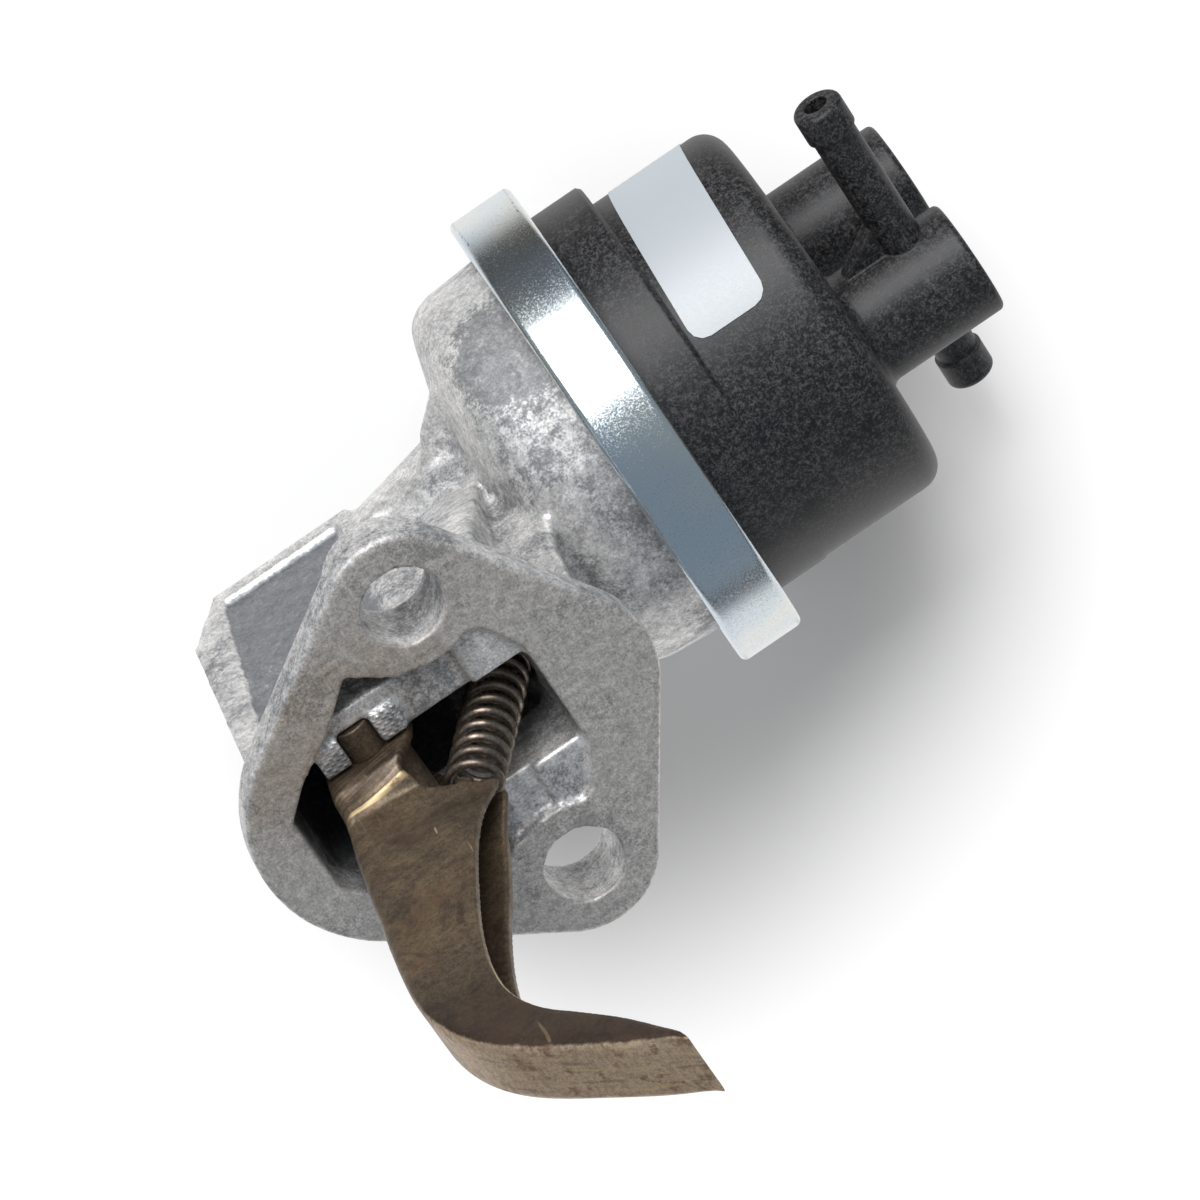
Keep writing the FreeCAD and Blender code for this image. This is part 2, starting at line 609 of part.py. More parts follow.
    # lugs for the pin, with a part that stands further forward above
    for side in ("", "-"):
        for face, low, high in (
            ("lug_face", "-lug_foot", "lug_step"),
            ("lug_step_face", "lug_step", "window_top + 0.5"),
        ):
            sketch = new_sketch(body, "XZ_Plane", f"-({face})")
            draw_polygon(sketch, [
                (side + "lug_gap_half", low),
                (side + "(window_side_half - 0.5)", low),
                (side + "(window_side_half - 0.5)", high),
                (side + "lug_gap_half", high),
            ])
            extrude(body, sketch, f"lug_back - {face}", reverse=True)
        # staked lips keep the pin from coming out of its slot
        for low, high in (("lip_inner", "lip_outer"), ("-lip_outer", "-lip_inner")):
            sketch = new_sketch(body, "XZ_Plane", "-lip_face")
            draw_polygon(sketch, [
                (side + "(lug_gap_half + 0.1)", f"-pin_drop + {low}"),
                (side + "(lug_gap_half + 0.1 + lip_width)", f"-pin_drop + {low}"),
                (side + "(lug_gap_half + 0.1 + lip_width)", f"-pin_drop + {high}"),
                (side + "(lug_gap_half + 0.1)", f"-pin_drop + {high}"),
            ])
            extrude(body, sketch, "lug_face - lip_face + 0.2", reverse=True)

    # slot for the pin, open to the front, and its round end
    sketch = new_sketch(body, "YZ_Plane")
    draw_polygon(sketch, [
        ("-1", "-pin_drop - lip_inner"),
        ("pin_set_back", "-pin_drop - lip_inner"),
        ("pin_set_back", "-pin_drop + lip_inner"),
        ("-1", "-pin_drop + lip_inner"),
    ])
    extrude(body, sketch, "2 * pin_half_length + 0.4", cut=True, midplane=True)
    sketch = new_sketch(body, "YZ_Plane")
    draw_circle(sketch, "pin_set_back", "-pin_drop", "pin_radius + seat_clearance")
    extrude(body, sketch, "2 * pin_half_length + 0.4", cut=True, midplane=True)

    # bolt holes
    sketch = new_sketch(body, "XZ_Plane")
    for side in ("", "-"):
        draw_circle(sketch, side + "hole_offset", "0", "hole_radius")
    extrude(body, sketch, "flange_thickness", cut=True)

    # pocket for the inner end of the lever spring
    slope = math.radians(VALUES["lever_spring_slope"])
    pocket = body.newObject("PartDesign::SubtractiveCylinder", "SpringPocket")
    bind(pocket, Radius="spring_pocket_radius", Height="lever_spring_length - 6")
    start = FreeCAD.Vector(
        0,
        -VALUES["spring_seat_out"] + 6 * math.cos(slope),
        -VALUES["spring_seat_drop"] + 6 * math.sin(slope),
    )
    pocket.Placement = FreeCAD.Placement(start, spring_turn())
    doc.recompute()

    # recessed panel on each side of the chamber
    for side in ("", "-"):
        taper = "(chamber_front_half - chamber_back_half) / (chamber_back - flange_plate + 1)"
        near = f"{side}(chamber_front_half - (panel_front - flange_plate + 1) * {taper} - panel_depth)"
        far = f"{side}(chamber_back_half + panel_border * {taper} - panel_depth)"
        outside = f"{side}(chamber_front_half + 4)"
        top = "-chamber_back_top - panel_border + 0.6"
        loft(
            body,
            ("panel_front", near, outside, "-chamber_foot + panel_border + 1.2", top),
            ("chamber_back - panel_border", far, outside,
             "-chamber_back_foot + panel_border + 3", top),
            cut=True,
        )
    return body


def spring_turn():
    """Rotation that lays a Z axis along the lever spring, from the lever into the housing."""
    slope = VALUES["lever_spring_slope"]
    return FreeCAD.Rotation(FreeCAD.Vector(1, 0, 0), slope - 90)


def build_cover():
    """Black moulded cover with two towers, each with a hose nipple."""
    body = new_body("top_cover", y="pump_axis")
    revolve(body, [
        ("0", "rim_high + diaphragm_thickness"),
        ("rim_radius", "rim_high + diaphragm_thickness"),
        ("rim_radius", "cover_rim_high"),
        ("band_radius", "cover_rim_high"),
        ("band_radius", "band_high - 0.5"),
        ("band_radius - 0.5", "band_high"),
        ("0", "band_high"),
    ])
    sketch = new_sketch(body, "XY_Plane", "rim_high + 2")
    draw_circle(sketch, "dome_shift_right", "-dome_shift_front", "dome_radius")
    extrude(body, sketch, "dome_high - rim_high - 2")
    high = VALUES["dome_high"]
    round_edges(body, "dome_corner", lambda edge: ring_edge(edge, VALUES["dome_radius"], high))

    # towers
    for centre in ("-tower_front", "tower_rear"):
        sketch = new_sketch(body, "XY_Plane", "dome_high - 1")
        draw_circle(sketch, "0", centre, "tower_radius")
        extrude(body, sketch, "tower_high - dome_high + 1")
    top = VALUES["tower_high"]
    round_edges(body, "tower_root", lambda edge: ring_edge(edge, VALUES["tower_radius"], high))
    round_edges(body, "tower_corner", lambda edge: ring_edge(edge, VALUES["tower_radius"], top))

    # nipples point opposite ways, each with a bead at its end and a web below its root
    for centre, reverse in (("-tower_front", True), ("tower_rear", False)):
        sketch = new_sketch(body, "YZ_Plane")
        draw_circle(sketch, centre, "nipple_high", "nipple_radius")
        extrude(body, sketch, "nipple_reach", reverse=reverse)
        start = "nipple_reach - nipple_bead_length"
        sketch = new_sketch(body, "YZ_Plane", f"-({start})" if reverse else start)
        draw_circle(sketch, centre, "nipple_high", "nipple_bead_radius")
        extrude(body, sketch, "nipple_bead_length", reverse=reverse)
        sign = "-" if reverse else ""
        sketch = new_sketch(body, "XZ_Plane", f"-({centre})")
        draw_polygon(sketch, [
            (sign + "(tower_radius - 2)", "nipple_high - 10"),
            (sign + "(tower_radius + 0.4)", "nipple_high - 8"),
            (sign + "(tower_radius + 5.5)", "nipple_high - 1"),
            (sign + "(tower_radius - 2)", "nipple_high - 1"),
        ])
        extrude(body, sketch, "nipple_web", midplane=True)
    reach = VALUES["nipple_reach"]
    round_edges(
        body, "nipple_radius / 4",
        lambda edge: edge.BoundBox.XLength < 0.01 and abs(abs(edge.BoundBox.XMin) - reach) < 0.01,
    )

    # room for the valves, with a ledge for the valve plate
    revolve(body, [
        ("0", "rim_high"),
        ("bowl_radius - bowl_wall", "rim_high"),
        ("valve_plate_radius + seat_clearance", "valve_plate_low - 1"),
        ("valve_plate_radius + seat_clearance", "plate_ledge"),
        ("cover_room_radius", "plate_ledge"),
        ("cover_room_radius", "cover_room_high"),
        ("0", "cover_room_high"),
    ], cut=True)
    sketch = new_sketch(body, "XY_Plane", "plate_ledge")
    draw_polygon(sketch, [
        ("-cover_room_radius - 0.5", "-divider_thickness / 2"),
        ("cover_room_radius + 0.5", "-divider_thickness / 2"),
        ("cover_room_radius + 0.5", "divider_thickness / 2"),
        ("-cover_room_radius - 0.5", "divider_thickness / 2"),
    ])
    extrude(body, sketch, "cover_room_high - plate_ledge + 0.5")

    # passages in towers and nipples
    for centre, reverse in (("-tower_front", True), ("tower_rear", False)):
        sketch = new_sketch(body, "XY_Plane", "cover_room_high - 0.5")
        draw_circle(sketch, "0", centre, "tower_bore")
        head = "nipple_high + nipple_bore + tower_bore_head"
        extrude(body, sketch, f"{head} - cover_room_high + 0.5", cut=True, reverse=True)
        sketch = new_sketch(body, "YZ_Plane")
        draw_circle(sketch, centre, "nipple_high", "nipple_bore")
        extrude(body, sketch, "nipple_reach + 1", cut=True, reverse=not reverse)
    return body


def build_ring():
    """Plated steel ring, crimped over the rims of bowl and cover."""
    body = turned_part("crimp_ring", [
        ("ring_lip_radius", "ring_low"),
        ("ring_radius", "ring_low"),
        ("ring_radius", "ring_high"),
        ("ring_lip_radius", "ring_high"),
        ("ring_lip_radius", "ring_high - ring_wall"),
        ("ring_radius - ring_wall", "ring_high - ring_wall"),
        ("ring_radius - ring_wall", "ring_low + ring_wall"),
        ("ring_lip_radius", "ring_low + ring_wall"),
    ], y="pump_axis")
    for height in (VALUES["ring_low"], VALUES["ring_high"]):
        round_edges(body, "ring_corner", lambda edge: ring_edge(edge, VALUES["ring_radius"], height))
    return body


def build_diaphragm_group():
    """Diaphragm with its plates, pull rod, collar, seal and spring, all on the pump's axis."""
    turned_part("diaphragm", [
        ("rod_radius + seat_clearance", "rim_high"),
        ("rim_radius", "rim_high"),
        ("rim_radius", "rim_high + diaphragm_thickness"),
        ("rod_radius + seat_clearance", "rim_high + diaphragm_thickness"),
    ], y="pump_axis")
    for label, low, high in (
        ("lower_diaphragm_plate", "rim_high - plate_thickness", "rim_high"),
        ("upper_diaphragm_plate", "rim_high + diaphragm_thickness",
         "rim_high + diaphragm_thickness + plate_thickness"),
    ):
        turned_part(label, [
            ("rod_radius + seat_clearance", low),
            ("plate_radius", low),
            ("plate_radius", high),
            ("rod_radius + seat_clearance", high),
        ], y="pump_axis")
    head = "rim_high + diaphragm_thickness + plate_thickness"
    turned_part("pull_rod", [
        ("0", "-rod_foot"),
        ("rod_radius - 0.4", "-rod_foot"),
        ("rod_radius", "-rod_foot + 0.4"),
        ("rod_radius", head),
        ("rod_head_radius", head),
        ("rod_head_radius", f"{head} + rod_head_height - 0.4"),
        ("rod_head_radius - 0.6", f"{head} + rod_head_height"),
        ("0", f"{head} + rod_head_height"),
    ], y="pump_axis")
    turned_part("rod_collar", [
        ("rod_radius", "-collar_drop - collar_thickness"),
        ("collar_radius", "-collar_drop - collar_thickness"),
        ("collar_radius", "-collar_drop"),
        ("rod_radius", "-collar_drop"),
    ], y="pump_axis")
    turned_part("rod_seal", [
        ("rod_radius + seal_grip", "seal_low"),
        ("seal_radius", "seal_low"),
        ("seal_radius", "seal_high"),
        ("rod_radius + 1.2", "seal_high"),
        ("rod_radius + seal_grip", "seal_high - 1.6"),
    ], y="pump_axis")
    turned_part("seal_retainer", [
        ("rod_radius + bore_clearance", "seal_high"),
        ("retainer_radius", "seal_high"),
        ("retainer_radius", "bowl_floor"),
        ("rod_radius + bore_clearance", "bowl_floor"),
    ], y="pump_axis")
    coil_spring(
        "diaphragm_spring", "pump_spring_radius", "pump_spring_wire", "pump_spring_pitch",
        "rim_high - plate_thickness - bowl_floor - 2 * pump_spring_wire - 0.1",
        y="pump_axis", z="bowl_floor + pump_spring_wire + 0.05",
    )


def build_valves():
    """Plate with inlet and outlet valve; each valve is a disc, a light spring and a cage."""
    plate = new_body("valve_plate", y="pump_axis")
    sketch = new_sketch(plate, "XY_Plane", "valve_plate_low")
    draw_circle(sketch, "0", "0", "valve_plate_radius")
    for centre in ("-tower_front", "tower_rear"):
        for right, up in (("0", "1"), ("0", "-1"), ("1", "0"), ("-1", "0")):
            across = f"{right} * valve_port_circle"
            draw_circle(sketch, across, f"{centre} + {up} * valve_port_circle", "valve_port_radius")
    extrude(plate, sketch, "plate_ledge - valve_plate_low")

    inner = "cage_radius - cage_wall"
    for kind, centre, face, sign in (
        ("inlet", "-tower_front", "valve_plate_low", "-"),
        ("outlet", "tower_rear", "plate_ledge", "+"),
    ):
        y = f"pump_axis + {centre}"
        turned_part(kind + "_valve", [
            ("0", face),
            ("valve_disc_radius", face),
            ("valve_disc_radius", f"{face} {sign} valve_disc_thickness"),
            ("0", f"{face} {sign} valve_disc_thickness"),
        ], y=y)
        turned_part(kind + "_valve_cage", [
            ("1.2", f"{face} {sign} (cage_height - cage_wall)"),
            (inner, f"{face} {sign} (cage_height - cage_wall)"),
            (inner, face),
            ("cage_radius", face),
            ("cage_radius", f"{face} {sign} cage_height"),
            ("1.2", f"{face} {sign} cage_height"),
        ], y=y)
        room = "cage_height - cage_wall - valve_disc_thickness"
        low = f"{face} - cage_height + cage_wall" if sign == "-" else f"{face} + valve_disc_thickness"
        coil_spring(
            kind + "_valve_spring", "valve_spring_radius", "valve_spring_wire",
            f"({room} - 2 * valve_spring_wire - 0.1) / 1.5", f"{room} - 2 * valve_spring_wire - 0.1",
            y=y, z=f"{low} + valve_spring_wire + 0.05",
        )
    turned_part("inlet_strainer", [
        ("0", "cover_room_high - filter_thickness"),
        ("filter_radius", "cover_room_high - filter_thickness"),
        ("filter_radius", "cover_room_high"),
        ("0", "cover_room_high"),
    ], y="pump_axis - tower_front")


def build_pin():
    """Pivot pin, bedded in the two lugs."""
    body = new_body("pivot_pin", y="pin_set_back", z="-pin_drop")
    sketch = new_sketch(body, "YZ_Plane")
    draw_circle(sketch, "0", "0", "pin_radius")
    extrude(body, sketch, "2 * pin_half_length", midplane=True)
    return body


def build_link():
    """Link arm on the same pin; its fork pulls the rod's collar down."""
    body = new_body("link_arm")
    end = "-(collar_drop - link_gap)"
    sketch = new_sketch(body, "YZ_Plane")
    draw_polygon(sketch, [
        ("pin_set_back", "-pin_drop - 1.4"),
        ("pin_set_back + 9", "-pin_drop - 1.4"),
        ("link_reach - 13", end),
        ("pump_axis", end),
        ("link_reach", f"{end} + 0.8"),
        ("link_reach", f"{end} + link_plate"),
        ("link_reach - 13.6", f"{end} + link_plate"),
        ("pin_set_back + 8", "-pin_drop + 2.2"),
        ("pin_set_back", "-pin_drop + 2.2"),
    ])
    extrude(body, sketch, "2 * link_arm_half", midplane=True)
    sketch = new_sketch(body, "YZ_Plane")
    draw_circle(sketch, "pin_set_back", "-pin_drop", "link_hub_radius")
    extrude(body, sketch, "2 * link_half", midplane=True)
    sketch = new_sketch(body, "YZ_Plane")
    draw_circle(sketch, "pin_set_back", "-pin_drop", "pin_radius + seat_clearance")
    extrude(body, sketch, "2 * link_half + 1", cut=True, midplane=True)
    sketch = new_sketch(body, "XY_Plane", f"{end} - 1")
    draw_polygon(sketch, [
        ("-fork_half", "pump_axis - fork_half - 0.6"),
        ("fork_half", "pump_axis - fork_half - 0.6"),
        ("fork_half", "link_reach + 1"),
        ("-fork_half", "link_reach + 1"),
    ])
    extrude(body, sketch, "link_plate + 2", cut=True, reverse=True)
    return body


def lever_section(station, half_root, sheet_inset, overrun):
    """Cross section of the lever as a closed wire; an inset gives the section of its hollow."""
    web_y, web_z, edge_y, edge_z, half_edge = station
    web = FreeCAD.Vector(0, web_y, web_z)
    edge = FreeCAD.Vector(0, edge_y, edge_z)
    inward = (edge - web).normalize()
    depth = (edge - web).Length
    bend = VALUES["lever_bend"]
    # the hollow starts one sheet above the web and runs out past the free edge
    start = sheet_inset
    root = half_root - sheet_inset
    tip = max(half_edge - sheet_inset, 0.08)
    rows = [
        (start, root - bend * 0.8),
        (start + bend * 0.3, root - bend * 0.22),
        (start + bend, root),
        (depth + overrun, tip),
    ]
    points = [web + inward * along + FreeCAD.Vector(half, 0, 0) for along, half in rows]
    points += [web + inward * along - FreeCAD.Vector(half, 0, 0) for along, half in reversed(rows)]
    return Part.makePolygon(points + points[:1])


def build_lever():
    """Rocker lever, folded from one sheet: a channel with two ears on the pin."""
    web_half = VALUES["lever_web_half"]
    root_half = VALUES["lever_root_half"]
    thickness = VALUES["lever_sheet"]
    pin_y = VALUES["pin_set_back"]
    pin_z = -VALUES["pin_drop"]

    # channel from the crease beside the ears out to the tip
    outside = Part.makeLoft([lever_section(s, web_half, 0, 0) for s in LEVER_STATIONS], True, False)
    inside = Part.makeLoft(
        [lever_section(s, web_half, thickness, 2) for s in LEVER_STATIONS], True, False
    )
    # the ears flare out from that crease and run back past the pin
    crease = LEVER_STATIONS[0]
    ear_start = (pin_y - 5.6, -20.5, pin_y - 5.6, -0.6, root_half)
    ear_end = (pin_y + 7.2, -19.2, pin_y + 7.2, -0.6, root_half)
    flare = Part.makeLoft(
        [lever_section(crease, web_half, 0, 0), lever_section(ear_start, root_half, 0, 0)], True, True
    )
    ears = Part.makeLoft(
        [lever_section(ear_start, root_half, 0, 0), lever_section(ear_end, root_half, 0, 0)], True, True
    )
    hollow_at_crease = lever_section(crease, web_half, thickness, 2)
    hollow_at_start = lever_section(ear_start, root_half, thickness, 2)
    hollow_at_end = lever_section(ear_end, root_half, thickness, 2)
    flare_inside = Part.makeLoft([hollow_at_crease, hollow_at_start], True, True)
    ears_inside = Part.makeLoft([hollow_at_start, hollow_at_end], True, True)
    back = FreeCAD.Vector(0, 0.6, 0)
    ears_run_out = ears_inside.copy()
    ears_run_out.translate(back)
    shape = outside.fuse([flare, ears])
    shape = shape.cut(inside).cut(flare_inside).cut(ears_inside).cut(ears_run_out)

    # edge line of ears, notch and spring seat; all above it is cut away
    slope = math.radians(VALUES["lever_spring_slope"])
    seat = FreeCAD.Vector(0, -VALUES["spring_seat_out"], -VALUES["spring_seat_drop"])
    along = FreeCAD.Vector(0, math.cos(slope), math.sin(slope))
    across = FreeCAD.Vector(0, -math.sin(slope), math.cos(slope))
    nose = VALUES["seat_nose"]
    nose_half = VALUES["seat_nose_half"]
    edge_line = [(-22.0, -7.0), (-17.8, -5.7), (-12.4, -3.2)]
    seat_line = [seat + across * 4.4, seat + across * nose_half, seat + across * nose_half + along * nose,
                 seat - across * nose_half + along * nose, seat - across * nose_half, seat - across * 4.2]
    ear_line = [(-2.6, -11.3), (pin_y - 2.4, pin_z + 5.4), (pin_y, pin_z + 6.3), (pin_y + 3.4, pin_z + 5.8),
                (pin_y + 6.4, pin_z + 4.6), (pin_y + 7.1, pin_z + 1.6), (pin_y + 6.0, -22.0),
                (pin_y + 9, -22.0), (pin_y + 9, 6.0), (-22.0, 6.0)]
    outline = [FreeCAD.Vector(-15, y, z) for y, z in edge_line]
    outline += [FreeCAD.Vector(-15, point.y, point.z) for point in seat_line]
    outline += [FreeCAD.Vector(-15, y, z) for y, z in ear_line]
    cutter = Part.Face(Part.makePolygon(outline + outline[:1])).extrude(FreeCAD.Vector(30, 0, 0))
    shape = shape.cut(cutter)

    # bridge between the ears, above the link arm, which it pushes down
    bridge = Part.makeBox(
        2 * root_half - 2 * thickness + 0.4, 2.1, thickness,
        FreeCAD.Vector(-(root_half - thickness + 0.2), pin_y + 4.7, pin_z + 2.5),
    )
    # pin hole
    hole = Part.makeCylinder(
        VALUES["pin_radius"] + VALUES["seat_clearance"], 30,
        FreeCAD.Vector(-15, pin_y, pin_z), FreeCAD.Vector(1, 0, 0),
    )
    shape = shape.cut(hole).fuse(bridge).removeSplitter()
    lever = doc.addObject("Part::Feature", "Lever")
    lever.Shape = shape
    lever.Label = "rocker_lever"
    lever.Placement = FreeCAD.Placement()
    PARTS.append(lever)


def build_lever_spring():
    """Return spring between the lever's seat and the pocket in the housing."""
    spring = coil_spring(
        "lever_return_spring", "lever_spring_radius", "lever_spring_wire", "lever_spring_pitch",
        "lever_spring_length - 2 * lever_spring_wire - 0.2", face_turns=0,
    )
    slope = math.radians(VALUES["lever_spring_slope"])
    inset = VALUES["lever_spring_wire"] + 0.13
    start = FreeCAD.Vector(
        0,
        -VALUES["spring_seat_out"] + inset * math.cos(slope),
        -VALUES["spring_seat_drop"] + inset * math.sin(slope),
    )
    spring.Placement = FreeCAD.Placement(start, spring_turn())


def build_label():
    """Bare sticker, wrapped round the cover's tall part."""
    radius = VALUES["dome_radius"]
    centre = FreeCAD.Vector(
        VALUES["dome_shift_right"], VALUES["pump_axis"] - VALUES["dome_shift_front"], 0
    )
    middle = (VALUES["label_start_angle"] + VALUES["label_end_angle"]) / 2
    half_span = math.radians(VALUES["label_end_angle"] - VALUES["label_start_angle"]) / 2
    half_height = VALUES["label_height"] / 2
    corner = VALUES["label_corner"]
    steps = 24
    inner = radius / math.cos(half_span / steps)
    outer = inner + VALUES["label_thickness"]

    def edge_height(angle):
        """Half height of the sticker at an angle from its middle, with rounded corners."""
        left = (half_span - abs(angle)) * radius
        if left >= corner:
            return half_height
        return half_height - corner + math.sqrt(max(corner ** 2 - (corner - left) ** 2, 0))

    def point(angle, distance, height):
        turn = math.radians(middle) + angle
        tilt = math.tan(math.radians(VALUES["label_tilt"])) * angle * radius
        return FreeCAD.Vector(
            centre.x - distance * math.sin(turn),
            centre.y - distance * math.cos(turn),
            VALUES["label_middle_height"] + height + tilt,
        )

    angles = []
    for i in range(steps + 1):
        share = i / steps
        angles.append(-half_span + 2 * half_span * share)
    ends = [corner / radius * (1 - math.cos(math.radians(a))) for a in (0, 30, 60, 90)]
    angles = [-half_span + e for e in ends] + angles[2:-2] + [half_span - e for e in reversed(ends)]
    strips = []
    for a, b in zip(angles, angles[1:]):
        low_a, low_b = max(edge_height(a), 0.4), max(edge_height(b), 0.4)
        faces = []
        for depth in (inner, outer):
            corners = [
                point(a, depth, -low_a),
                point(b, depth, -low_b),
                point(b, depth, low_b),
                point(a, depth, low_a),
            ]
            faces.append(Part.makePolygon(corners + corners[:1]))
        strips.append(Part.makeLoft(faces, True, True))
    label = doc.addObject("Part::Feature", "Label")
    label.Shape = strips[0].fuse(strips[1:]).removeSplitter()
    label.Label = "cover_label"
    label.Placement = FreeCAD.Placement()
    PARTS.append(label)


def check_and_write():
    """Stop on any failed object, then write each sub-part to its own file."""
    doc.recompute()
    for thing in doc.Objects:
        if "Invalid" in thing.State or "Error" in thing.State:
            raise RuntimeError(f"{thing.Name} of {thing.Label} failed: {thing.State}")
    os.makedirs("parts", exist_ok=True)
    for part in PARTS:
        shape = part.Shape
        if shape.isNull() or not shape.isValid():
            raise RuntimeError(part.Label + " has no valid shape")
        shape.exportStep(f"parts/{part.Label}.step")
        box = shape.BoundBox
        print(f"{part.Label:24s} solids {len(shape.Solids)} volume {shape.Volume:9.1f} "
              f"x {box.XMin:6.1f} {box.XMax:6.1f} y {box.YMin:6.1f} {box.YMax:6.1f} "
              f"z {box.ZMin:6.1f} {box.ZMax:6.1f}")


build_housing()
build_cover()
build_ring()
build_diaphragm_group()
build_valves()
build_pin()
build_link()
build_lever()
build_lever_spring()
build_label()
check_and_write()
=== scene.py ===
"""Studio scene of a mechanical fuel pump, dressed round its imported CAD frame.

The frame is in metres: the flange's face is the plane Y = 0 and the pump's axis runs along +Z.
"""

import json
import logging
import math
from dataclasses import dataclass
from enum import Enum
from typing import Callable, Optional

import bpy
from mathutils import Matrix, Vector


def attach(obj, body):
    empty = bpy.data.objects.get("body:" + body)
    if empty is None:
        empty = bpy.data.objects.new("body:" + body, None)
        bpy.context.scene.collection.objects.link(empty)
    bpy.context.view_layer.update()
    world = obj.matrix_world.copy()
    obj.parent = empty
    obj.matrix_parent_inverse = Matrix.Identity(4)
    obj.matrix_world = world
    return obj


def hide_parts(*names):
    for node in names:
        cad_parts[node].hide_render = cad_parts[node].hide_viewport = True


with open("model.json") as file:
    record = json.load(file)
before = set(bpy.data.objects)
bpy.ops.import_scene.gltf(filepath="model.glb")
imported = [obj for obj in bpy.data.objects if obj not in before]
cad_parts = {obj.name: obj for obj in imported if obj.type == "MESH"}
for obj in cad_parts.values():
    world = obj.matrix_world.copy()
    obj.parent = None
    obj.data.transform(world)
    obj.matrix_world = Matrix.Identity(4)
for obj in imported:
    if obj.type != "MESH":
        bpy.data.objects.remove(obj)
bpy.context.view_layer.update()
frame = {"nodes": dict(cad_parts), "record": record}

LOG = logging.getLogger("fuel_pump")
MM = 0.001

# CAD nodes given the brown pin steel instead of the grey of their slot: painted shade, for the
# unlit inside of the housing.
PAINTED_SHADE_NODES = ("link_arm",)

# The lever's crease runs along Y = CREASE_SLOPE * Z + CREASE_LINE, round Z = CREASE_MIDDLE, in mm.
CREASE_SLOPE = 0.205
CREASE_LINE = -0.985
CREASE_MIDDLE = -15.4
Colour = tuple[float, float, float]
Socket = bpy.types.NodeSocket


class Slot(Enum):
    """Material slots of the record that new pieces take their finish from."""

    CASTING = "cast_aluminium"
    PLASTIC = "black_plastic"
    PLATING = "zinc_steel"
    FILM = "sticker_film"
    LEVER = "bronzed_steel"
    PIN = "dark_pin_steel"


class Graph:
    """Short calls that add and join nodes in one node tree."""

    def __init__(self, tree: bpy.types.NodeTree) -> None:
        """Take over a tree and empty it."""
        self.tree = tree
        tree.nodes.clear()

    def add(self, kind: str, inputs: Optional[dict] = None, **settings: object) -> bpy.types.Node:
        """Add one node.

        Args:
            kind: Node type without its ShaderNode prefix, or a full type name.
            inputs: Values or output sockets by input name or index.
            settings: Attributes of the node itself.

        Returns:
            The new node.
        """
        name = kind if kind.startswith("Node") else "ShaderNode" + kind
        node = self.tree.nodes.new(name)
        for key, value in settings.items():
            setattr(node, key, value)
        for key, value in (inputs or {}).items():
            self.feed(node.inputs[key], value)
        return node

    def feed(self, socket: Socket, value: object) -> None:
        """Set an input to a value, or join it to an output socket."""
        if isinstance(value, Socket):
            self.tree.links.new(value, socket)
            return
        if socket.type == "RGBA" and len(value) == 3:
            value = (*value, 1.0)
        socket.default_value = value

    def math(
        self, operation: str, first: object, second: object = 0.0, clamp: bool = False
    ) -> Socket:
        """Result of one math operation on two values or sockets."""
        node = self.add("Math", {0: first, 1: second}, operation=operation, use_clamp=clamp)
        return node.outputs[0]

    def product(self, first: object, *others: object) -> Socket:
        """Product of two or more values or sockets."""
        for other in others:
            first = self.math("MULTIPLY", first, other)
        return first

    def remap(
        self, value: object, low: float, high: float, to_low: float = 0.0, to_high: float = 1.0
    ) -> Socket:
        """Move a value smoothly from one range to another, and keep it inside that one.

        Args:
            value: Value or output socket.
            low: Where the first range starts, which may lie above its end.
            high: Where the first range ends.
            to_low: Result at the start.
            to_high: Result at the end.

        Returns:
            Socket of the result.
        """
        node = self.add(
            "MapRange",
            {0: value, 1: low, 2: high, 3: to_low, 4: to_high},
            interpolation_type="SMOOTHSTEP",
        )
        return node.outputs[0]

    def mix(self, share: object, first: object, second: object, blend: str = "MIX") -> Socket:
        """Blend two colours.

        Args:
            share: Share of the second colour, from 0 to 1.
            first: Colour or output socket.
            second: Colour or output socket.
            blend: Blend type of the node.

        Returns:
            Socket of the blended colour.
        """
        node = self.add("Mix", data_type="RGBA", blend_type=blend)
        self.feed(node.inputs[0], share)
        self.feed(node.inputs[6], first)
        self.feed(node.inputs[7], second)
        return node.outputs[2]

    def shade(self, colour: object, value: object) -> Socket:
        """Colour multiplied by a value."""
        grey = self.add("CombineColor", {0: value, 1: value, 2: value}).outputs[0]
        return self.mix(1.0, colour, grey, "MULTIPLY")

    def noise(
        self,
        where: object,
        scale: object,
        detail: float = 4.0,
        rough: float = 0.6,
        warp: float = 0.0,
    ) -> Socket:
        """Read noise at a position.

        Args:
            where: Position, as an output socket.
            scale: Waves per metre.
            detail: Octaves.
            rough: Strength of each octave next to the one before it.
            warp: Distortion.

        Returns:
            Socket of the noise, from 0 to 1.
        """
        node = self.add(
            "TexNoise",
            {
                "Vector": where,
                "Scale": scale,
                "Detail": detail,
                "Roughness": rough,
                "Distortion": warp,
            },
        )
        return node.outputs["Fac"]


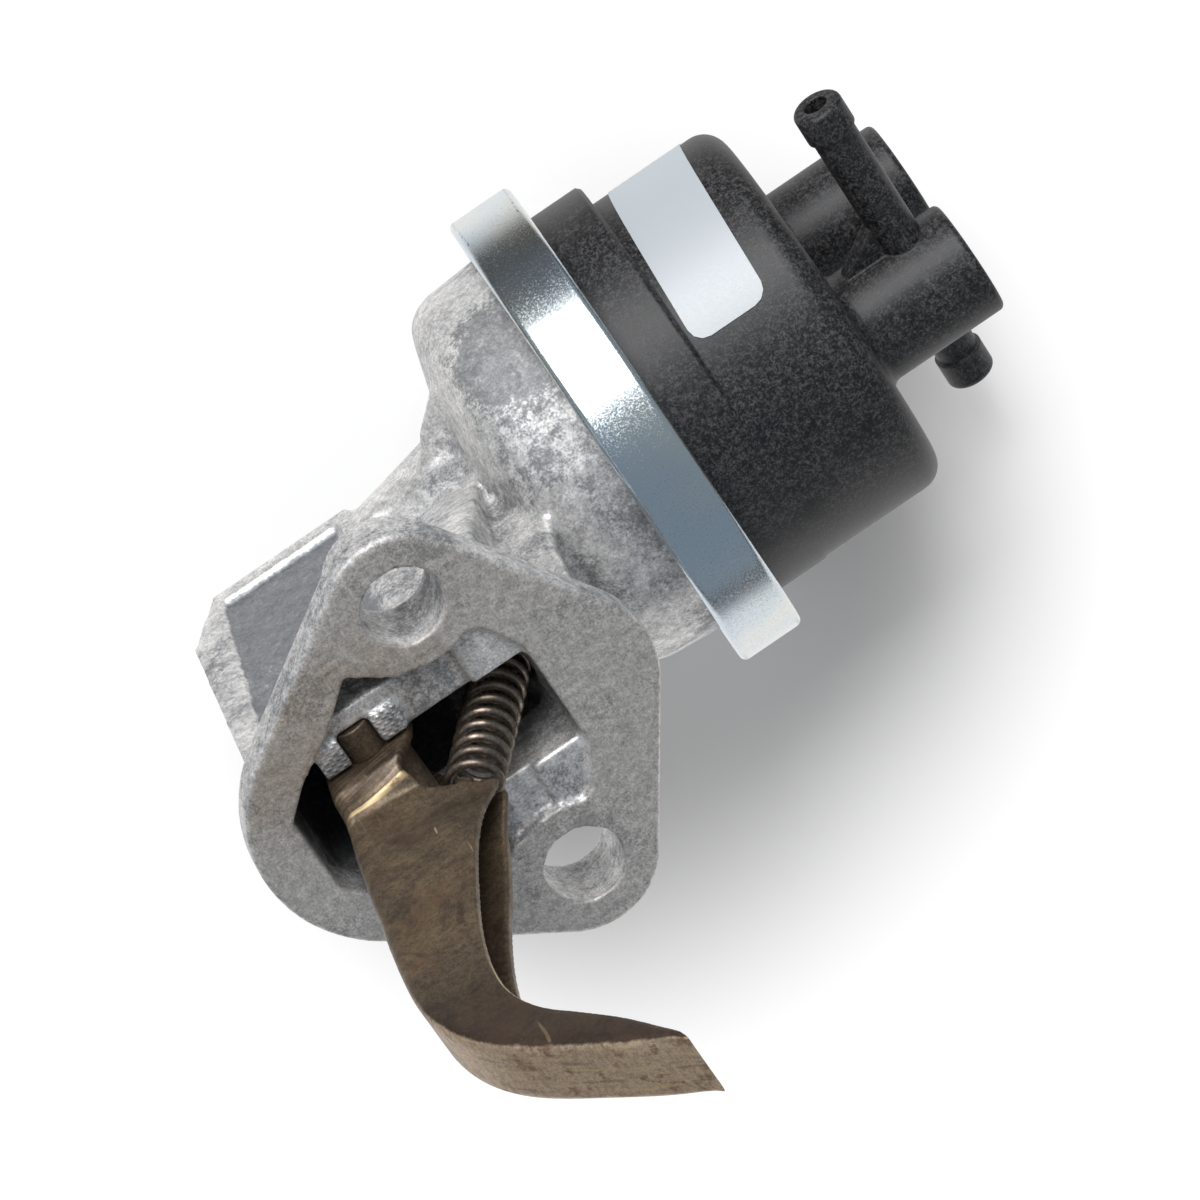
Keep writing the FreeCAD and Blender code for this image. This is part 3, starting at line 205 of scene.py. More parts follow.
class SharedEffect:
    """A node group that several finishes place with values of their own."""

    name = ""
    inputs: tuple[tuple[str, str, object], ...] = ()
    outputs: tuple[tuple[str, str], ...] = ()

    def __init__(self) -> None:
        """Make the group with its sockets and fill it."""
        self.group = bpy.data.node_groups.new(self.name, "ShaderNodeTree")
        graph = Graph(self.group)
        for label, kind, value in self.inputs:
            socket = self.group.interface.new_socket(label, in_out="INPUT", socket_type=kind)
            socket.default_value = value
        for label, kind in self.outputs:
            self.group.interface.new_socket(label, in_out="OUTPUT", socket_type=kind)
        source = graph.add("NodeGroupInput")
        target = graph.add("NodeGroupOutput")
        self.fill(graph, source.outputs, target.inputs)

    def fill(self, graph: Graph, source: object, target: object) -> None:
        """Add the group's nodes between its inputs and outputs."""
        raise NotImplementedError

    def place(self, graph: Graph, **values: object) -> object:
        """Put the effect into a material.

        Args:
            graph: Graph of the material.
            values: Input values, with underscores for spaces in their names.

        Returns:
            The outputs of the placed group.
        """
        node = graph.add("Group", node_tree=self.group)
        for key, value in values.items():
            graph.feed(node.inputs[key.replace("_", " ").capitalize()], value)
        return node.outputs


class EdgeEffect(SharedEffect):
    """Finds outer edges and rounds them in the shading."""

    name = "worn_edges"
    inputs = (("Radius", "NodeSocketFloat", 0.5 * MM), ("Sharpness", "NodeSocketFloat", 0.12))
    outputs = (("Mask", "NodeSocketFloat"), ("Normal", "NodeSocketVector"))

    def fill(self, graph: Graph, source: object, target: object) -> None:
        """Compare the rounded normal with the true one, broken up by noise."""
        bevel = graph.add("Bevel", {"Radius": source["Radius"]}, samples=6)
        face = graph.add("NewGeometry").outputs["Normal"]
        normals = {0: bevel.outputs[0], 1: face}
        alike = graph.add("VectorMath", normals, operation="DOT_PRODUCT").outputs["Value"]
        turned = graph.math("SUBTRACT", 1.0, alike)
        place = graph.add("TexCoord").outputs["Object"]
        broken = graph.remap(graph.noise(place, 700.0, 5.0, 0.7), 0.3, 0.7, 0.35, 1.0)
        share = graph.math("DIVIDE", turned, source["Sharpness"], clamp=True)
        graph.feed(target["Mask"], graph.math("MULTIPLY", share, broken, clamp=True))
        graph.feed(target["Normal"], bevel.outputs[0])


class SkinEffect(SharedEffect):
    """Fine specks that gather in soft patches, over broad clouds."""

    name = "speckled_skin"
    inputs = (
        ("Patch", "NodeSocketFloat", 130.0),
        ("Grain", "NodeSocketFloat", 3200.0),
        ("Shift", "NodeSocketFloat", 0.0),
        ("Amount", "NodeSocketFloat", 0.5),
        ("Bias", "NodeSocketFloat", 0.0),
    )
    outputs = (
        ("Clouds", "NodeSocketFloat"),
        ("Specks", "NodeSocketFloat"),
        ("Fine", "NodeSocketFloat"),
        ("Height", "NodeSocketFloat"),
    )

    def fill(self, graph: Graph, source: object, target: object) -> None:
        """Lower the limit above which grain becomes a speck where patches gather."""
        place = graph.add("TexCoord").outputs["Object"]
        moved = graph.add("VectorMath", {0: place, 1: source["Shift"]}, operation="ADD").outputs[0]
        broad = graph.noise(moved, source["Patch"], 3.0, 0.55)
        medium = graph.noise(moved, graph.product(source["Patch"], 5.0), 5.0, 0.75)
        grain = graph.noise(moved, source["Grain"], 3.0, 0.75)
        coarse = graph.noise(moved, graph.product(source["Grain"], 0.4), 3.0, 0.7)
        both = graph.math("ADD", graph.product(broad, 0.55), graph.product(medium, 0.45))
        gather = graph.remap(graph.math("ADD", both, source["Bias"]), 0.42, 0.66)
        spots = graph.math("ADD", graph.product(grain, 0.6), graph.product(coarse, 0.4))
        drop = graph.product(gather, graph.product(source["Amount"], 0.34))
        over = graph.math("SUBTRACT", spots, graph.math("SUBTRACT", 0.66, drop))
        graph.feed(target["Specks"], graph.remap(over, -0.08, 0.12))
        graph.feed(target["Clouds"], graph.remap(both, 0.36, 0.64))
        graph.feed(target["Fine"], graph.remap(spots, 0.34, 0.66))
        height = graph.math("ADD", graph.product(medium, 0.4), graph.product(spots, 0.6))
        graph.feed(target["Height"], height)


class StreakEffect(SharedEffect):
    """Fine drawn lines along one direction, as on rolled, drawn or turned metal."""

    name = "drawn_lines"
    inputs = (
        ("Across", "NodeSocketVector", (1.0, 1.0, 1.0)),
        ("Scale", "NodeSocketFloat", 900.0),
    )
    outputs = (("Lines", "NodeSocketFloat"),)

    def fill(self, graph: Graph, source: object, target: object) -> None:
        """Stretch noise by the direction that the lines cross."""
        place = graph.add("TexCoord").outputs["Object"]
        factors = {0: place, 1: source["Across"]}
        stretched = graph.add("VectorMath", factors, operation="MULTIPLY").outputs[0]
        lines = graph.noise(stretched, source["Scale"], 3.0, 0.6)
        graph.feed(target["Lines"], graph.remap(lines, 0.35, 0.65))


class Effects:
    """The shared effects, each built once."""

    def __init__(self) -> None:
        """Build every group."""
        self.edges = EdgeEffect()
        self.skin = SkinEffect()
        self.streaks = StreakEffect()


@dataclass(frozen=True)
class Finish:
    """A surface finish; its subclasses add the nodes that feed the shader."""

    name: str
    roughness: float = 0.5
    metallic: float = 0.0
    coat: float = 0.0

    def material(self, effects: Effects) -> bpy.types.Material:
        """Build the material of this finish.

        Args:
            effects: The shared node groups.

        Returns:
            The new material, named like the finish.
        """
        made = bpy.data.materials.new(self.name)
        made.use_nodes = True
        graph = Graph(made.node_tree)
        shader = graph.add(
            "BsdfPrincipled",
            {"Roughness": self.roughness, "Metallic": self.metallic, "Coat Weight": self.coat},
        )
        graph.add("OutputMaterial", {"Surface": shader.outputs[0]})
        self.dress(graph, shader.inputs, effects)
        return made

    def dress(self, graph: Graph, shader: object, effects: Effects) -> None:
        """Feed the shader's colour, roughness and normal."""
        raise NotImplementedError

    def bump(self, graph: Graph, height: object, depth: float, normal: object = None) -> Socket:
        """Turn a height into a normal.

        Args:
            graph: Graph of the material.
            height: Socket of the height.
            depth: Relief in metres at a height of one.
            normal: Normal to start from, where it isn't the surface's own.

        Returns:
            Socket of the normal.
        """
        node = graph.add("Bump", {"Height": height, "Distance": depth, "Strength": 1.0})
        if normal is not None:
            graph.feed(node.inputs["Normal"], normal)
        return node.outputs[0]


@dataclass(frozen=True)
class CastFinish(Finish):
    """Die-cast aluminium: dark grain in hollows, pale edges and a brownish flange face.

    Places and reaches are in millimetres.
    """

    dark: Colour = (0.10, 0.105, 0.118)
    middle: Colour = (0.50, 0.50, 0.508)
    pale: Colour = (0.77, 0.755, 0.74)
    edge: Colour = (0.84, 0.83, 0.82)
    face: Colour = (0.56, 0.533, 0.51)
    stain: Colour = (0.43, 0.335, 0.255)
    panel: Colour = (0.33, 0.347, 0.375)
    panel_half: float = 13.1
    panel_taper: float = 0.083
    hollow_reach: float = 7.0
    smudge: tuple[float, float, float] = (-24.5, 33.0, 27.0)
    smudge_reach: float = 11.0
    knurl_waves: float = 420.0
    knurl_turns: tuple[float, float] = (0.35, -0.75)
    knurl_height: float = 5.5
    relief: float = 0.022

    def band(self, graph: Graph, value: object, low: float, high: float) -> Socket:
        """Mask of one between two values, with soft ends."""
        rise = graph.remap(value, low - 0.3 * MM, low + 0.3 * MM)
        fall = graph.remap(value, high - 0.3 * MM, high + 0.3 * MM, 1.0, 0.0)
        return graph.product(rise, fall)

    def smudged(self, graph: Graph, place: object) -> Socket:
        """Mask of a soft dark ball on the bowl's shoulder."""
        ends = {0: place, 1: tuple(part * MM for part in self.smudge)}
        away = graph.add("VectorMath", ends, operation="DISTANCE").outputs["Value"]
        return graph.remap(away, 0.25 * self.smudge_reach * MM, self.smudge_reach * MM, 1.0, 0.0)

    def knurl(self, graph: Graph, place: object, split: object) -> Socket:
        """Height of the tool marks on the staked lips."""
        across = self.band(graph, graph.math("ABSOLUTE", split["X"]), 7.2 * MM, 11.8 * MM)
        drop = graph.math("ADD", split["Z"], 13.6 * MM)
        beside = self.band(graph, graph.math("ABSOLUTE", drop), 2.2 * MM, 6.2 * MM)
        front = graph.remap(split["Y"], 1.4 * MM, 2.4 * MM, 1.0, 0.0)
        ridges = [self.ridges(graph, place, turn) for turn in self.knurl_turns]
        return graph.product(graph.product(across, beside, front), graph.product(*ridges))

    def ridges(self, graph: Graph, place: object, turn: float) -> Socket:
        """Height of one set of parallel tool marks, turned about Y."""
        turned = graph.add("Mapping", {"Vector": place, "Rotation": (0.0, turn, 0.0)}).outputs[0]
        waves = {"Vector": turned, "Scale": self.knurl_waves, "Distortion": 1.2, "Detail": 1.0}
        bands = graph.add("TexWave", waves, wave_type="BANDS", bands_direction="X")
        return bands.outputs["Fac"]

    def recess(self, graph: Graph, split: object) -> Socket:
        """Mask of the sunken panels on both sides of the rocker chamber."""
        slope = graph.product(split["Y"], self.panel_taper)
        side = graph.math("SUBTRACT", self.panel_half * MM, slope)
        depth = graph.math("SUBTRACT", side, graph.math("ABSOLUTE", split["X"]))
        sunk = graph.remap(depth, 0.35 * MM, 0.85 * MM)
        behind = graph.remap(split["Y"], 11.5 * MM, 13.5 * MM)
        below = graph.remap(split["Z"], -4.0 * MM, -2.0 * MM, 1.0, 0.0)
        return graph.product(sunk, graph.product(behind, below))

    def gathering(self, graph: Graph, place: object, panel: object) -> Socket:
        """How much more the specks gather in hollows, on the panels and round the smudge."""
        reach = {"Distance": self.hollow_reach * MM}
        open_sky = graph.add("AmbientOcclusion", reach, samples=4).outputs["AO"]
        hollow = graph.remap(open_sky, 0.40, 0.92, 1.0, 0.0)
        smudge = self.smudged(graph, place)
        bias = graph.math("ADD", graph.product(hollow, 0.10), graph.product(panel, 0.22))
        bias = graph.math("ADD", bias, graph.product(smudge, 0.20))
        return graph.math("SUBTRACT", bias, 0.03)

    def stained_face(
        self, graph: Graph, place: object, split: object, specks: object, tone: object
    ) -> Socket:
        """Colour the flange's machined face.

        Args:
            graph: Graph of the material.
            place: Position on the object.
            split: The position's X, Y and Z.
            specks: Mask of the dark specks.
            tone: Factor of the fine grain.

        Returns:
            Socket of the colour, brownest at the face's lower left.
        """
        low_side = graph.remap(split["Z"], 10 * MM, -12 * MM)
        left_side = graph.remap(split["X"], 2 * MM, -14 * MM)
        rim = graph.remap(split["X"], -26 * MM, -20 * MM)
        cloud = graph.remap(graph.noise(place, 75.0, 5.0, 0.75), 0.34, 0.60, 0.25, 1.0)
        brown = graph.product(low_side, graph.product(left_side, rim), cloud)
        face = graph.shade(self.face, tone)
        stain = graph.shade(self.stain, tone)
        face = graph.mix(graph.product(brown, 0.62), face, stain)
        return graph.mix(graph.product(specks, 0.34), face, self.dark)

    def dress(self, graph: Graph, shader: object, effects: Effects) -> None:
        """Mix skin, panels, specks, flange face and edge wear."""
        place = graph.add("TexCoord").outputs["Object"]
        split = graph.add("SeparateXYZ", {0: place}).outputs
        panel = self.recess(graph, split)
        bias = self.gathering(graph, place, panel)
        skin = effects.skin.place(graph, patch=95.0, grain=3300.0, amount=1.0, bias=bias)
        edges = effects.edges.place(graph, radius=0.45 * MM, sharpness=0.12)
        fine = graph.remap(skin["Fine"], 0.0, 1.0, 1.22, 0.76)
        blots = graph.remap(graph.noise(place, 620.0, 6.0, 0.8), 0.36, 0.66, 1.14, 0.74)
        tone = graph.product(fine, blots)
        base = graph.mix(skin["Clouds"], self.pale, self.middle)
        base = graph.mix(graph.product(panel, 0.80), base, self.panel)
        base = graph.shade(base, tone)
        base = graph.mix(graph.product(skin["Specks"], 0.50), base, self.dark)
        on_face = graph.remap(split["Y"], 0.12 * MM, 0.4 * MM, 1.0, 0.0)
        face = self.stained_face(graph, place, split, skin["Specks"], tone)
        base = graph.mix(graph.product(on_face, 0.94), base, face)
        base = graph.mix(graph.product(edges["Mask"], 0.7), base, self.edge)
        graph.feed(shader["Base Color"], base)
        rough = graph.remap(skin["Specks"], 0.0, 1.0, 0.42, 0.49)
        left_flank = graph.remap(split["X"], -12.2 * MM, -13.0 * MM, 0.0, 1.6)
        duller = graph.product(graph.math("MAXIMUM", on_face, left_flank), 0.10)
        graph.feed(shader["Roughness"], graph.math("ADD", rough, duller))
        marks = graph.product(self.knurl(graph, place, split), self.knurl_height)
        height = graph.math("ADD", skin["Height"], marks)
        graph.feed(shader["Normal"], self.bump(graph, height, self.relief * MM, edges["Normal"]))


@dataclass(frozen=True)
class PlatedFinish(Finish):
    """Zinc plate with a faint blue to yellow cast."""

    cool: Colour = (0.66, 0.74, 0.81)
    warm: Colour = (0.83, 0.83, 0.77)
    pit: Colour = (0.22, 0.26, 0.30)

    def dress(self, graph: Graph, shader: object, effects: Effects) -> None:
        """Drift between both casts, with pits and fine lines."""
        place = graph.add("TexCoord").outputs["Object"]
        drift = graph.remap(graph.noise(place, 45.0, 3.0, 0.5), 0.35, 0.65)
        base = graph.mix(drift, self.cool, self.warm)
        specks = graph.remap(graph.noise(place, 4200.0, 4.0, 0.8), 0.48, 0.72)
        base = graph.mix(graph.product(specks, 0.42), base, self.pit)
        lines = effects.streaks.place(graph, across=(0.08, 0.08, 1.0), scale=3000.0)["Lines"]
        graph.feed(shader["Base Color"], base)
        graph.feed(shader["Roughness"], graph.remap(specks, 0.0, 1.0, 0.20, 0.38))
        height = graph.math("ADD", graph.product(lines, 0.4), specks)
        graph.feed(shader["Normal"], self.bump(graph, height, 0.006 * MM))


@dataclass(frozen=True)
class MouldedFinish(Finish):
    """Black glass-filled plastic with a pale frosted grain."""

    dark: Colour = (0.004, 0.004, 0.0045)
    pale: Colour = (0.085, 0.083, 0.087)

    def dress(self, graph: Graph, shader: object, effects: Effects) -> None:
        """Frost the surface evenly, a little more in soft clouds."""
        skin = effects.skin.place(
            graph, patch=90.0, grain=3600.0, shift=0.31, amount=0.42, bias=0.20
        )
        edges = effects.edges.place(graph, radius=0.5 * MM, sharpness=0.15)
        frost = graph.product(skin["Specks"], graph.remap(skin["Clouds"], 0.0, 1.0, 0.80, 1.0))
        base = graph.mix(frost, self.dark, self.pale)
        base = graph.mix(graph.product(edges["Mask"], 0.30), base, self.pale)
        graph.feed(shader["Base Color"], base)
        graph.feed(shader["Roughness"], graph.remap(skin["Fine"], 0.0, 1.0, 0.40, 0.54))
        graph.feed(shader["Normal"], self.bump(graph, skin["Height"], 0.07 * MM, edges["Normal"]))


@dataclass(frozen=True)
class FilmFinish(Finish):
    """Silvery sticker film, left bare."""

    cool: Colour = (0.47, 0.52, 0.56)
    pale: Colour = (0.52, 0.545, 0.57)

    def dress(self, graph: Graph, shader: object, effects: Effects) -> None:
        """Drift softly between two silvers."""
        place = graph.add("TexCoord").outputs["Object"]
        split = graph.add("SeparateXYZ", {0: place}).outputs
        along = graph.remap(split["Y"], 20 * MM, 50 * MM)
        graph.feed(shader["Base Color"], graph.mix(along, self.pale, self.cool))
        grain = graph.noise(place, 5000.0, 2.0, 0.5)
        graph.feed(shader["Roughness"], graph.remap(grain, 0.3, 0.7, 0.46, 0.54))
        graph.feed(shader["Normal"], self.bump(graph, grain, 0.004 * MM))


@dataclass(frozen=True)
class OiledSteelFinish(Finish):
    """Sheet or wire with a brown, unevenly worn bronze tint."""

    dark: Colour = (0.060, 0.044, 0.034)
    base: Colour = (0.150, 0.112, 0.074)
    worn: Colour = (0.36, 0.27, 0.165)
    patch: float = 60.0
    polish: float = 0.36
    relief: float = 0.025 * MM

    def colour(self, graph: Graph, skin: object, edges: object) -> Socket:
        """Tint with soft patches, fine specks and pale worn edges."""
        place = graph.add("TexCoord").outputs["Object"]
        tint = graph.remap(graph.noise(place, self.patch * 2.6, 5.0, 0.6), 0.38, 0.66)
        base = graph.mix(graph.product(skin["Clouds"], 0.55), self.base, self.dark)
        base = graph.mix(graph.product(tint, 0.26), base, self.worn)
        base = graph.shade(base, graph.remap(skin["Fine"], 0.0, 1.0, 1.30, 0.66))
        base = graph.mix(graph.product(skin["Specks"], 0.30), base, self.dark)
        return graph.mix(graph.product(edges["Mask"], 0.6), base, self.worn)

    def dress(self, graph: Graph, shader: object, effects: Effects) -> None:
        """Feed colour, polish and a fine relief."""
        skin = effects.skin.place(graph, patch=self.patch, grain=2900.0, shift=0.77, amount=0.6)
        edges = effects.edges.place(graph, radius=0.5 * MM, sharpness=0.10)
        graph.feed(shader["Base Color"], self.colour(graph, skin, edges))
        rough = graph.remap(skin["Clouds"], 0.0, 1.0, self.polish, self.polish + 0.10)
        graph.feed(shader["Roughness"], rough)
        graph.feed(shader["Normal"], self.bump(graph, skin["Height"], self.relief, edges["Normal"]))


@dataclass(frozen=True)
class LeverFinish(OiledSteelFinish):
    """The lever's tint: a crease worn by rubbing and painted with a highlight, a dark burnt band,
    and at its tail a light brown, rusty back brightened by painted light.
    """

    burnt: Colour = (0.050, 0.032, 0.028)
    # Brightened colour of the tail's back: painted light, standing in for the floor's glow from
    # below.
    lit_tan: Colour = (0.66, 0.50, 0.36)
    rust: Colour = (0.24, 0.11, 0.05)
    brass: Colour = (0.80, 0.62, 0.34)
    # Colour of the crease: wear from rubbing, brightened as a painted highlight.
    rubbed_and_highlight: Colour = (0.55, 0.41, 0.23)
    copper: Colour = (0.22, 0.135, 0.075)
    tail: float = -46.0
    crease_width: float = 0.36
    crease_reach: float = 6.5

    def near(self, graph: Graph, value: object, centre: float, half: float) -> Socket:
        """Make a soft band round one value.

        Args:
            graph: Graph of the material.
            value: Socket of a distance in metres.
            centre: Middle of the band in millimetres.
            half: Half its width in millimetres.

        Returns:
            Socket of the mask.
        """
        away = graph.math("ABSOLUTE", graph.math("SUBTRACT", value, centre * MM))
        return graph.remap(away, 0.45 * half * MM, half * MM, 1.0, 0.0)

    def weathered(self, graph: Graph, place: object, plain: object) -> Socket:
        """Plain tint with copper and burnt patches and a few long, bright scratches."""
        warm = graph.remap(graph.noise(place, 95.0, 4.0, 0.65), 0.50, 0.66, 0.0, 0.45)
        plain = graph.mix(warm, plain, self.copper)
        gloom = graph.remap(graph.noise(place, 130.0, 4.0, 0.7, 0.6), 0.50, 0.36, 0.0, 0.55)
        plain = graph.mix(gloom, plain, self.burnt)
        stretch = {"Vector": place, "Rotation": (0.55, 0.0, 0.0), "Scale": (1.0, 0.03, 1.0)}
        turned = graph.add("Mapping", stretch).outputs[0]
        scratch = graph.remap(graph.noise(turned, 1100.0, 1.0, 0.5), 0.735, 0.80, 0.0, 0.6)
        return graph.mix(scratch, plain, self.brass)

    def with_ears(
        self, graph: Graph, split: object, fine: object, ragged: object, plain: object
    ) -> Socket:
        """Lay drawn lines over the ears' outside and paint the crease below them bright, as wear
        from rubbing and a painted highlight.

        Args:
            graph: Graph of the material.
            split: The position's X, Y and Z.
            fine: Fine grain of the skin.
            ragged: Noise that breaks up the crease.
            plain: Colour under the ears.

        Returns:
            Socket of the colour.
        """
        outer = graph.remap(graph.math("ABSOLUTE", split["X"]), 4.2 * MM, 5.2 * MM)
        line = graph.math("SUBTRACT", split["Y"], graph.product(split["Z"], CREASE_SLOPE))
        along = graph.product(split["Z"], 0.06)
        drawn = graph.add("CombineXYZ", {0: line, 2: along}).outputs[0]
        lines = graph.remap(graph.noise(drawn, 1500.0, 2.0, 0.6), 0.44, 0.66)
        ear = graph.mix(graph.product(lines, 0.45), self.dark, self.worn)
        ear = graph.shade(ear, graph.remap(fine, 0.0, 1.0, 1.3, 0.7))
        above = graph.remap(line, (CREASE_LINE - 0.2) * MM, (CREASE_LINE + 0.5) * MM)
        base = graph.mix(graph.product(outer, above, 0.72), plain, ear)
        # Painted highlight along the crease's folded corner, mixed with wear from rubbing.
        across = self.near(graph, line, CREASE_LINE - 0.1, self.crease_width)
        within = self.near(graph, split["Z"], CREASE_MIDDLE, self.crease_reach)
        worn = graph.remap(ragged, 0.66, 0.56, 0.25, 1.0)
        return graph.mix(graph.product(across, outer, within, worn), base, self.rubbed_and_highlight)

    def lit_tail_back(self, graph: Graph, place: object, fine: object) -> Socket:
        """Light brown of the tail's back, brightened as painted light where it turns away from the
        lamp, with rust spots and lines dragged along by the cam.
        """
        rusty = graph.remap(graph.noise(place, 330.0, 4.0, 0.7), 0.52, 0.66)
        lit_tan = graph.mix(graph.product(rusty, 0.65), self.lit_tan, self.rust)
        lit_tan = graph.shade(lit_tan, graph.remap(fine, 0.0, 1.0, 1.2, 0.72))
        along = graph.add("Mapping", {"Vector": place, "Scale": (1.0, 0.07, 0.07)}).outputs[0]
        drag = graph.noise(along, 1300.0, 3.0, 0.6)
        lit_tan = graph.mix(graph.remap(drag, 0.56, 0.66, 0.0, 0.55), lit_tan, self.brass)
        return graph.mix(graph.remap(drag, 0.42, 0.34, 0.0, 0.38), lit_tan, self.base)

    def colour(self, graph: Graph, skin: object, edges: object) -> Socket:
        """Lay the ears, the crease and the tail's bands over the plain tint."""
        plain = super().colour(graph, skin, edges)
        coordinates = graph.add("TexCoord").outputs
        place = coordinates["Object"]
        split = graph.add("SeparateXYZ", {0: place}).outputs
        normal = graph.add("SeparateXYZ", {0: coordinates["Normal"]}).outputs
        ragged = graph.noise(place, 240.0, 5.0, 0.75)
        plain = self.weathered(graph, place, plain)
        base = self.with_ears(graph, split, skin["Fine"], ragged, plain)
        tail = graph.remap(split["Y"], (self.tail + 6) * MM, (self.tail - 8) * MM)
        wobble = graph.product(graph.math("SUBTRACT", ragged, 0.5), 0.7)
        facing = graph.math("ADD", graph.math("ABSOLUTE", normal["X"]), wobble)
        side = graph.product(tail, graph.remap(facing, 0.55, 0.80))
        base = graph.mix(graph.product(side, 0.66), base, self.burnt)
        # Faces of the tail that turn along Y and Z take the brightened colour as painted light; its
        # rust spots and drag lines are real.
        back = graph.product(tail, graph.remap(facing, 0.80, 0.50))
        lit_tan = self.lit_tail_back(graph, place, skin["Fine"])
        return graph.mix(graph.product(back, 0.88), base, lit_tan)


@dataclass(frozen=True)
class PlainFinish(Finish):
    """Inner piece of one tone with light clouds and grain."""

    tone: Colour = (0.5, 0.5, 0.5)
    depth: float = 0.02 * MM

    def dress(self, graph: Graph, shader: object, effects: Effects) -> None:
        """Darken the tone in clouds."""
        skin = effects.skin.place(graph, patch=220.0, grain=2500.0, shift=0.53)
        shade = tuple(part * 0.6 for part in self.tone)
        graph.feed(shader["Base Color"], graph.mix(skin["Clouds"], shade, self.tone))
        spread = (self.roughness + 0.08, self.roughness - 0.04)
        graph.feed(shader["Roughness"], graph.remap(skin["Clouds"], 0.0, 1.0, *spread))
        graph.feed(shader["Normal"], self.bump(graph, skin["Height"], self.depth))


FINISHES = (
    CastFinish("cast_aluminium", metallic=0.55),
    PlatedFinish("zinc_steel", metallic=1.0),
    MouldedFinish("black_plastic"),
    FilmFinish("sticker_film", metallic=0.15),
    LeverFinish("bronzed_steel", metallic=0.55),
    OiledSteelFinish(
        "dark_pin_steel",
        metallic=0.65,
        dark=(0.04, 0.03, 0.025),
        base=(0.16, 0.12, 0.085),
        worn=(0.30, 0.23, 0.16),
    ),
    OiledSteelFinish(
        "spring_steel",
        metallic=0.9,
        dark=(0.09, 0.07, 0.055),
        base=(0.22, 0.175, 0.14),
        worn=(0.50, 0.41, 0.33),
        polish=0.27,
        relief=0.01 * MM,
    ),
    PlainFinish("grey_steel", roughness=0.35, metallic=0.9, tone=(0.50, 0.50, 0.49)),
    PlainFinish("diaphragm_rubber", roughness=0.7, tone=(0.03, 0.03, 0.03)),
    PlainFinish("seal_rubber", roughness=0.6, tone=(0.025, 0.025, 0.025)),
    PlainFinish("natural_plastic", roughness=0.5, tone=(0.66, 0.63, 0.54)),
    PlainFinish("valve_rubber", roughness=0.6, tone=(0.22, 0.08, 0.04)),
    PlainFinish(
        "strainer_mesh", roughness=0.4, metallic=0.8, tone=(0.55, 0.53, 0.46), depth=0.1 * MM
    ),
)


class Workshop:
    """Materials by slot, and the dressing of the CAD nodes."""

    def __init__(self) -> None:
        """Build every material once."""
        effects = Effects()
        self.materials = {finish.name: finish.material(effects) for finish in FINISHES}

    def paint(self, thing: bpy.types.Object, slot: str) -> None:
        """Give an object one material."""
        thing.data.materials.clear()
        thing.data.materials.append(self.materials[slot])

    def paint_frame(self) -> None:
        """Give every CAD node the finish of its slot in the record, but paint the nodes in the
        housing's unlit inside with the darker pin steel as painted shade.
        """
        for row in frame["record"]["subparts"]:
            node = frame["nodes"][row["node"]]
            # nodes in the unlit inside take the darker pin steel, a painted shade
            slot = Slot.PIN.value if row["node"] in PAINTED_SHADE_NODES else row["material_slot"]
            self.paint(node, slot)
            LOG.info("painted %s with %s", row["node"], slot)


class Bench:
    """Selections and operators as used by hand."""

    MERGE_DISTANCE = 0.002 * MM
    WEIGHT_STEPS = 40

    @staticmethod
    def pick(thing: bpy.types.Object) -> None:
        """Deselect everything, then select one object and make it active."""
        bpy.ops.object.select_all(action="DESELECT")
        thing.select_set(True)
        bpy.context.view_layer.objects.active = thing

    @classmethod
    def merged_copy(cls, node: str, name: str) -> bpy.types.Object:
        """Copy of a CAD node whose loose triangles are joined.

        Args:
            node: Name of the CAD node.
            name: Name of the new object.

        Returns:
            The new object, selected and active.
        """
        copy = bpy.data.objects.new(name, frame["nodes"][node].data.copy())
        bpy.context.scene.collection.objects.link(copy)
        cls.pick(copy)
        bpy.ops.mesh.customdata_custom_splitnormals_clear()
        bpy.ops.object.mode_set(mode="EDIT")
        bpy.ops.mesh.select_all(action="SELECT")
        bpy.ops.mesh.remove_doubles(threshold=cls.MERGE_DISTANCE)
        bpy.ops.object.mode_set(mode="OBJECT")
        return copy

    @classmethod
    def apply(cls, thing: bpy.types.Object, kind: str, **settings: object) -> None:
        """Add one modifier and apply it.

        Args:
            thing: Object that takes it.
            kind: Type of the modifier.
            settings: Attributes of the modifier.
        """
        cls.pick(thing)
        modifier = thing.modifiers.new(kind.lower(), kind)
        for key, value in settings.items():
            setattr(modifier, key, value)
        bpy.ops.object.modifier_apply(modifier=modifier.name)

    @classmethod
    def weigh(cls, thing: bpy.types.Object, name: str, share: Callable[[Vector], float]) -> None:
        """Make a vertex group whose weights follow the place.

        Args:
            thing: Object that takes the group.
            name: Name of the group.
            share: Weight at a place in millimetres, rounded to small steps here.
        """
        group = thing.vertex_groups.new(name=name)
        steps: dict[int, list[int]] = {}
        for vertex in thing.data.vertices:
            step = round(cls.WEIGHT_STEPS * min(max(share(vertex.co / MM), 0.0), 1.0))
            steps.setdefault(step, []).append(vertex.index)
        for step, indices in steps.items():
            if step:
                group.add(indices, step / cls.WEIGHT_STEPS, "REPLACE")


